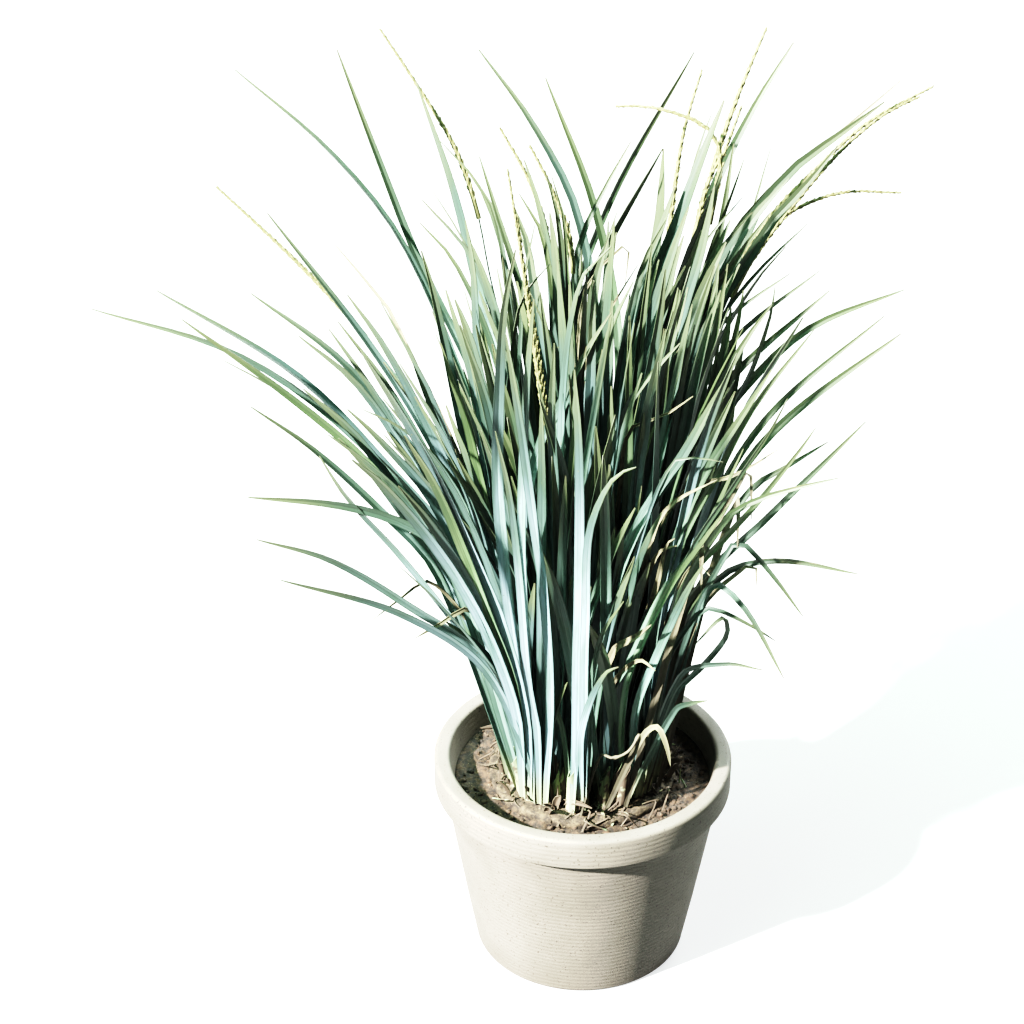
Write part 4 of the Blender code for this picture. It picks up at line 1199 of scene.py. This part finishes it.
# %% Soil material
def make_soil_material(name, dark, pale):
    """Moist compost: dark, rough and granular, with a few pale fibres."""
    material, tree, shader = new_material(name)
    place = add(tree, "TexCoord").outputs["Object"]
    coarse = speckle(tree, place, 260, 4.0, 0.65).outputs[0]
    fine = speckle(tree, place, 1400, 3.0).outputs[0]
    flecks = speckle(tree, place, 620, 1.0).outputs[0]
    colour = mix(tree, between(tree, coarse, 0.35, 0.70), linear(dark), linear(pale))
    colour = paint(tree, colour, "#6E6450", flecks, 0.70, 0.76)
    height = sums(tree, "ADD", coarse, sums(tree, "MULTIPLY", fine, 0.4))
    finish(tree, shader, colour, between(tree, fine, 0.2, 0.8, 0.75, 0.98), bump(tree, height, 0.0012))
    return material


SOIL = make_soil_material("moist compost", "#1D1712", "#4A3A2B")
CROWN_MAT = make_soil_material("matted root fibre", "#241D16", "#554938")


# %% Soil and crown meshes
def spun(profile, steps):
    """Spins a profile of (radius, height) points round the Z axis, closed along its seam and at its poles."""
    mesh = bmesh.new()
    verts = [mesh.verts.new((r, 0, z)) for r, z in profile]
    edges = [mesh.edges.new(pair) for pair in zip(verts, verts[1:])]
    bmesh.ops.spin(mesh, geom=verts + edges, cent=(0, 0, 0), axis=(0, 0, 1), angle=2 * math.pi, steps=steps,
                   use_merge=True)
    bmesh.ops.remove_doubles(mesh, verts=mesh.verts, dist=1e-6)
    bmesh.ops.recalc_face_normals(mesh, faces=mesh.faces)
    return mesh


def waves(place, size):
    """Layered noise for soil: four layers, each a little over twice as fine as the last."""
    return noise.fractal(place / size, 0.9, 2.2, 4)


def roughen(mesh, height, size, rim, low):
    """Raises the points above low by layered noise, and by less and less over the last 6 mm to the rim."""
    for vert in mesh.verts:
        if vert.co.z < low:
            continue
        edge = min(1.0, max(0.0, (rim - vert.co.xy.length) / 0.006))
        vert.co.z += height * waves(vert.co, size) * edge


def add_crumb(mesh, place, size):
    """One crumb: a small ball, squashed and knocked out of round."""
    turn = Matrix.Rotation(chance.uniform(0, math.tau), 4, Vector((chance.random(), chance.random(), 1)))
    shape = Matrix.Diagonal((size, size * chance.uniform(0.6, 1), size * chance.uniform(0.45, 0.8), 1))
    crumb = bmesh.new()
    stand = Matrix.Translation(place) @ turn @ shape
    bmesh.ops.create_icosphere(crumb, subdivisions=2, radius=0.5, matrix=stand)
    for vert in crumb.verts:
        vert.co += (vert.co - place) * 0.45 * noise.noise(vert.co * 900 + Vector((size * 9000, 0, 0)))
    join(mesh, crumb)


SOIL_BASE = soil_low.z
SOIL_BASE_RADIUS = SOIL_RADIUS - 0.021
SOIL_RINGS = 44
SOIL_RELIEF = 0.0030
SOIL_WAVE = 0.011
SOIL_CRUMBS = 520

profile = [(SOIL_RADIUS * i / SOIL_RINGS, SOIL_TOP) for i in range(SOIL_RINGS + 1)]
mesh = spun(profile + [(SOIL_BASE_RADIUS, SOIL_BASE), (0, SOIL_BASE)], 150)
roughen(mesh, SOIL_RELIEF, SOIL_WAVE, SOIL_RADIUS, SOIL_TOP - 0.001)
for _ in range(SOIL_CRUMBS):
    bearing = chance.uniform(0, 360)
    radius = (SOIL_RADIUS - 0.004) * math.sqrt(chance.uniform(0.34, 1))
    size = 0.0014 + 0.0040 * chance.random() ** 3
    place = polar(bearing, radius, SOIL_TOP)
    place.z += SOIL_RELIEF * waves(place, SOIL_WAVE) + size * 0.12
    add_crumb(mesh, place, size)
close_piece(mesh, "potting_soil_surface", SOIL, "soil", "potting_soil")

MOUND_RADIUS = CROWN_RADIUS * 0.99
MOUND_BASE = SOIL_TOP - 0.002
MOUND_FALL = 0.0035
MOUND_RINGS = 26
MOUND_RELIEF = 0.0034
MOUND_WAVE = 0.009
MOUND_CRUMBS = 260

shares = [i / MOUND_RINGS for i in range(MOUND_RINGS + 1)]
profile = [(MOUND_RADIUS * share, FOOT_HEIGHT - MOUND_FALL * share**3) for share in shares]
mesh = spun(profile + [(MOUND_RADIUS, MOUND_BASE), (0, MOUND_BASE)], 110)
roughen(mesh, MOUND_RELIEF, MOUND_WAVE, CROWN_RADIUS + 0.004, SOIL_TOP + 0.002)
for _ in range(MOUND_CRUMBS):
    bearing = chance.uniform(0, 360)
    radius = CROWN_RADIUS * math.sqrt(chance.uniform(0.2, 1))
    size = 0.0020 + 0.0034 * chance.random() ** 2
    height = FOOT_HEIGHT - 0.001 - 0.004 * (radius / CROWN_RADIUS) ** 3
    add_crumb(mesh, polar(bearing, radius, height), size)
close_piece(mesh, "crown_mound", CROWN_MAT, "sheath", "rootstock")

SHEATH_SCRAPS = 64
FIBRES = 110

mesh = new_foliage()
for _ in range(SHEATH_SCRAPS):
    bearing = chance.uniform(0, 360)
    radius = CROWN_RADIUS * math.sqrt(chance.uniform(0.10, 0.86))
    foot = polar(bearing, radius, FOOT_HEIGHT - 0.003)
    length = chance.uniform(0.007, 0.018)
    lean = chance.uniform(0.05, 0.75) * radius / CROWN_RADIUS
    spine = arching_path(foot, bearing + chance.gauss(0, 25), radius + length * lean, length,
                         chance.gauss(0, 0.003), 5)
    facing = polar(bearing + chance.gauss(0, 40), 1)
    add_leaf(mesh, spine, chance.uniform(0.0035, 0.0075), facing, 0, chance.gauss(0, 0.4), 0.8,
             chance.choice((3, 9)), foot=1, tone=chance.uniform(0.55, 1), dry=0.5, columns=4)
for _ in range(FIBRES):
    bearing = chance.uniform(0, 360)
    radius = CROWN_RADIUS * chance.uniform(0.55, 0.98)
    start = polar(bearing, radius, FOOT_HEIGHT - 0.002)
    turn = bearing + chance.gauss(90, 50)
    middle = start + polar(turn, 0.010, chance.uniform(0.000, 0.006))
    end_radius = min(radius + 0.010, SOIL_RADIUS - 0.008)
    end = polar(bearing + chance.uniform(-14, 14), end_radius, SOIL_TOP + 0.002)
    add_tube(mesh, smooth_path([start, middle, end], 7), [chance.uniform(0.0002, 0.0005)] * 7, 4,
             tone=chance.uniform(0.5, 1), dry=1)
close_piece(mesh, "crown_sheaths", SHEATH, "sheath", "rootstock", thickness=0.0005)
print("soil and crown ready")

# %% [markdown]
# ## The pot
# The pot is unglazed stoneware, thrown on a wheel. Its wall is a profile with rounded lips, spun in fine
# steps, so it is smooth where the frame's pot is faceted. Fine turning lines and iron specks come from the
# material. The drain holes are cut through the floor with a Boolean modifier, which is applied.

# %% Pot
# Radians of a sine wave to the metre, which sets the turning lines 3.5 mm apart
TURNING_WAVE = 1800.0


def make_stoneware():
    """Unglazed stoneware: warm pale grey, matt, with turning lines 3.5 mm apart and iron specks."""
    material, tree, shader = new_material("unglazed stoneware")
    place = add(tree, "TexCoord").outputs["Object"]
    height = add(tree, "SeparateXYZ", {0: place}).outputs[2]
    wander = sums(tree, "MULTIPLY", speckle(tree, place, 18, 2.0).outputs[0], 9.0)
    turned = sums(tree, "MULTIPLY", height, TURNING_WAVE)
    lines = sums(tree, "SINE", sums(tree, "ADD", turned, wander))
    cloud = speckle(tree, place, 26, 3.0, 0.6).outputs[0]
    grit = speckle(tree, place, 1500, 2.0).outputs[0]
    specks = speckle(tree, place, 640, 0.0).outputs[0]
    colour = mix(tree, between(tree, cloud, 0.3, 0.7), linear("#5C574E"), linear("#69635A"))
    colour = paint(tree, colour, "#58524A", grit, 0.35, 0.65, 0.0, 0.25)
    colour = paint(tree, colour, "#3A322C", specks, 0.73, 0.77, 0.0, 0.85)
    colour = paint(tree, colour, "#4D463D", height, 0.0, 0.035, 0.35, 0.0)
    relief = sums(tree, "ADD", sums(tree, "MULTIPLY", lines, 0.22), grit)
    finish(tree, shader, colour, between(tree, grit, 0.2, 0.8, 0.62, 0.82), bump(tree, relief, 0.00022))
    return material


def rounded(centre, radius, start, stop, steps=6):
    """Points of (radius, height) on an arc between two angles in degrees."""
    angles = [math.radians(start + (stop - start) * step / steps) for step in range(steps + 1)]
    return [(centre[0] + radius * math.cos(a), centre[1] + radius * math.sin(a)) for a in angles]


WALL = 0.008
FLOOR = 0.010
RIM_BAND_HEIGHT = 0.022
RIM_BAND_PROUD = 0.003
ROUNDING = 0.003
BAND_ROUNDING = 0.0015
BAND_FILLET = 0.0012
BASE_RADIUS = 0.073
DRAIN_HOLE_RADIUS = 0.006
DRAIN_HOLE_OFFSET = 0.042


def outer_wall(height):
    """Radius of the pot's outer wall, under its rim band, at a height."""
    return BASE_RADIUS + (RIM_RADIUS - RIM_BAND_PROUD - BASE_RADIUS) * height / POT_HEIGHT


band_base = POT_HEIGHT - RIM_BAND_HEIGHT
lip = POT_HEIGHT - ROUNDING
profile = [(0, FLOOR), (outer_wall(FLOOR) - WALL - 0.002, FLOOR)]
profile += [(outer_wall(h) - WALL, h) for h in (FLOOR + 0.002, 0.04, 0.08, 0.11, SOIL_TOP)]
profile += rounded((outer_wall(POT_HEIGHT) - WALL + ROUNDING, lip), ROUNDING, 180, 90)
profile += rounded((RIM_RADIUS - ROUNDING, lip), ROUNDING, 90, 0)
profile += rounded((RIM_RADIUS - BAND_ROUNDING, band_base + BAND_ROUNDING), BAND_ROUNDING, 0, -75, 4)
fillet_centre = (outer_wall(band_base) + BAND_FILLET, band_base - 3 * BAND_FILLET)
profile += rounded(fillet_centre, BAND_FILLET, 105, 180, 4)
profile += [(outer_wall(h), h) for h in (0.10, 0.07, 0.04)]
profile += rounded((BASE_RADIUS - ROUNDING, ROUNDING), ROUNDING, 0, -90)
profile += [(0, 0)]
mesh = spun(profile, 144)
pot_mesh = bpy.data.meshes.new("pot")
mesh.to_mesh(pot_mesh)
mesh.free()
pot = bpy.data.objects.new("pot_uncut", pot_mesh)
bpy.context.scene.collection.objects.link(pot)
mesh = bmesh.new()
for hole in range(3):
    place = polar(120 * hole, DRAIN_HOLE_OFFSET, FLOOR / 2)
    bmesh.ops.create_cone(mesh, cap_ends=True, segments=40, radius1=DRAIN_HOLE_RADIUS,
                          radius2=DRAIN_HOLE_RADIUS, depth=3 * FLOOR, matrix=Matrix.Translation(place))
drill_mesh = bpy.data.meshes.new("drill")
mesh.to_mesh(drill_mesh)
mesh.free()
drill = bpy.data.objects.new("drill", drill_mesh)
bpy.context.scene.collection.objects.link(drill)
cut = pot.modifiers.new("drain holes", "BOOLEAN")
cut.operation = "DIFFERENCE"
cut.object = drill
bpy.context.view_layer.update()
finished = bpy.data.meshes.new_from_object(pot.evaluated_get(bpy.context.evaluated_depsgraph_get()))
for spare in (pot, drill):
    bpy.data.objects.remove(spare)
mesh = bmesh.new()
mesh.from_mesh(finished)
bmesh.ops.remove_doubles(mesh, verts=mesh.verts, dist=1e-6)
piece = close_piece(mesh, "pot_stoneware", make_stoneware(), "stoneware", "pot")
piece.data.set_sharp_from_angle(angle=math.radians(50))
print("pot faces:", len(piece.data.polygons))
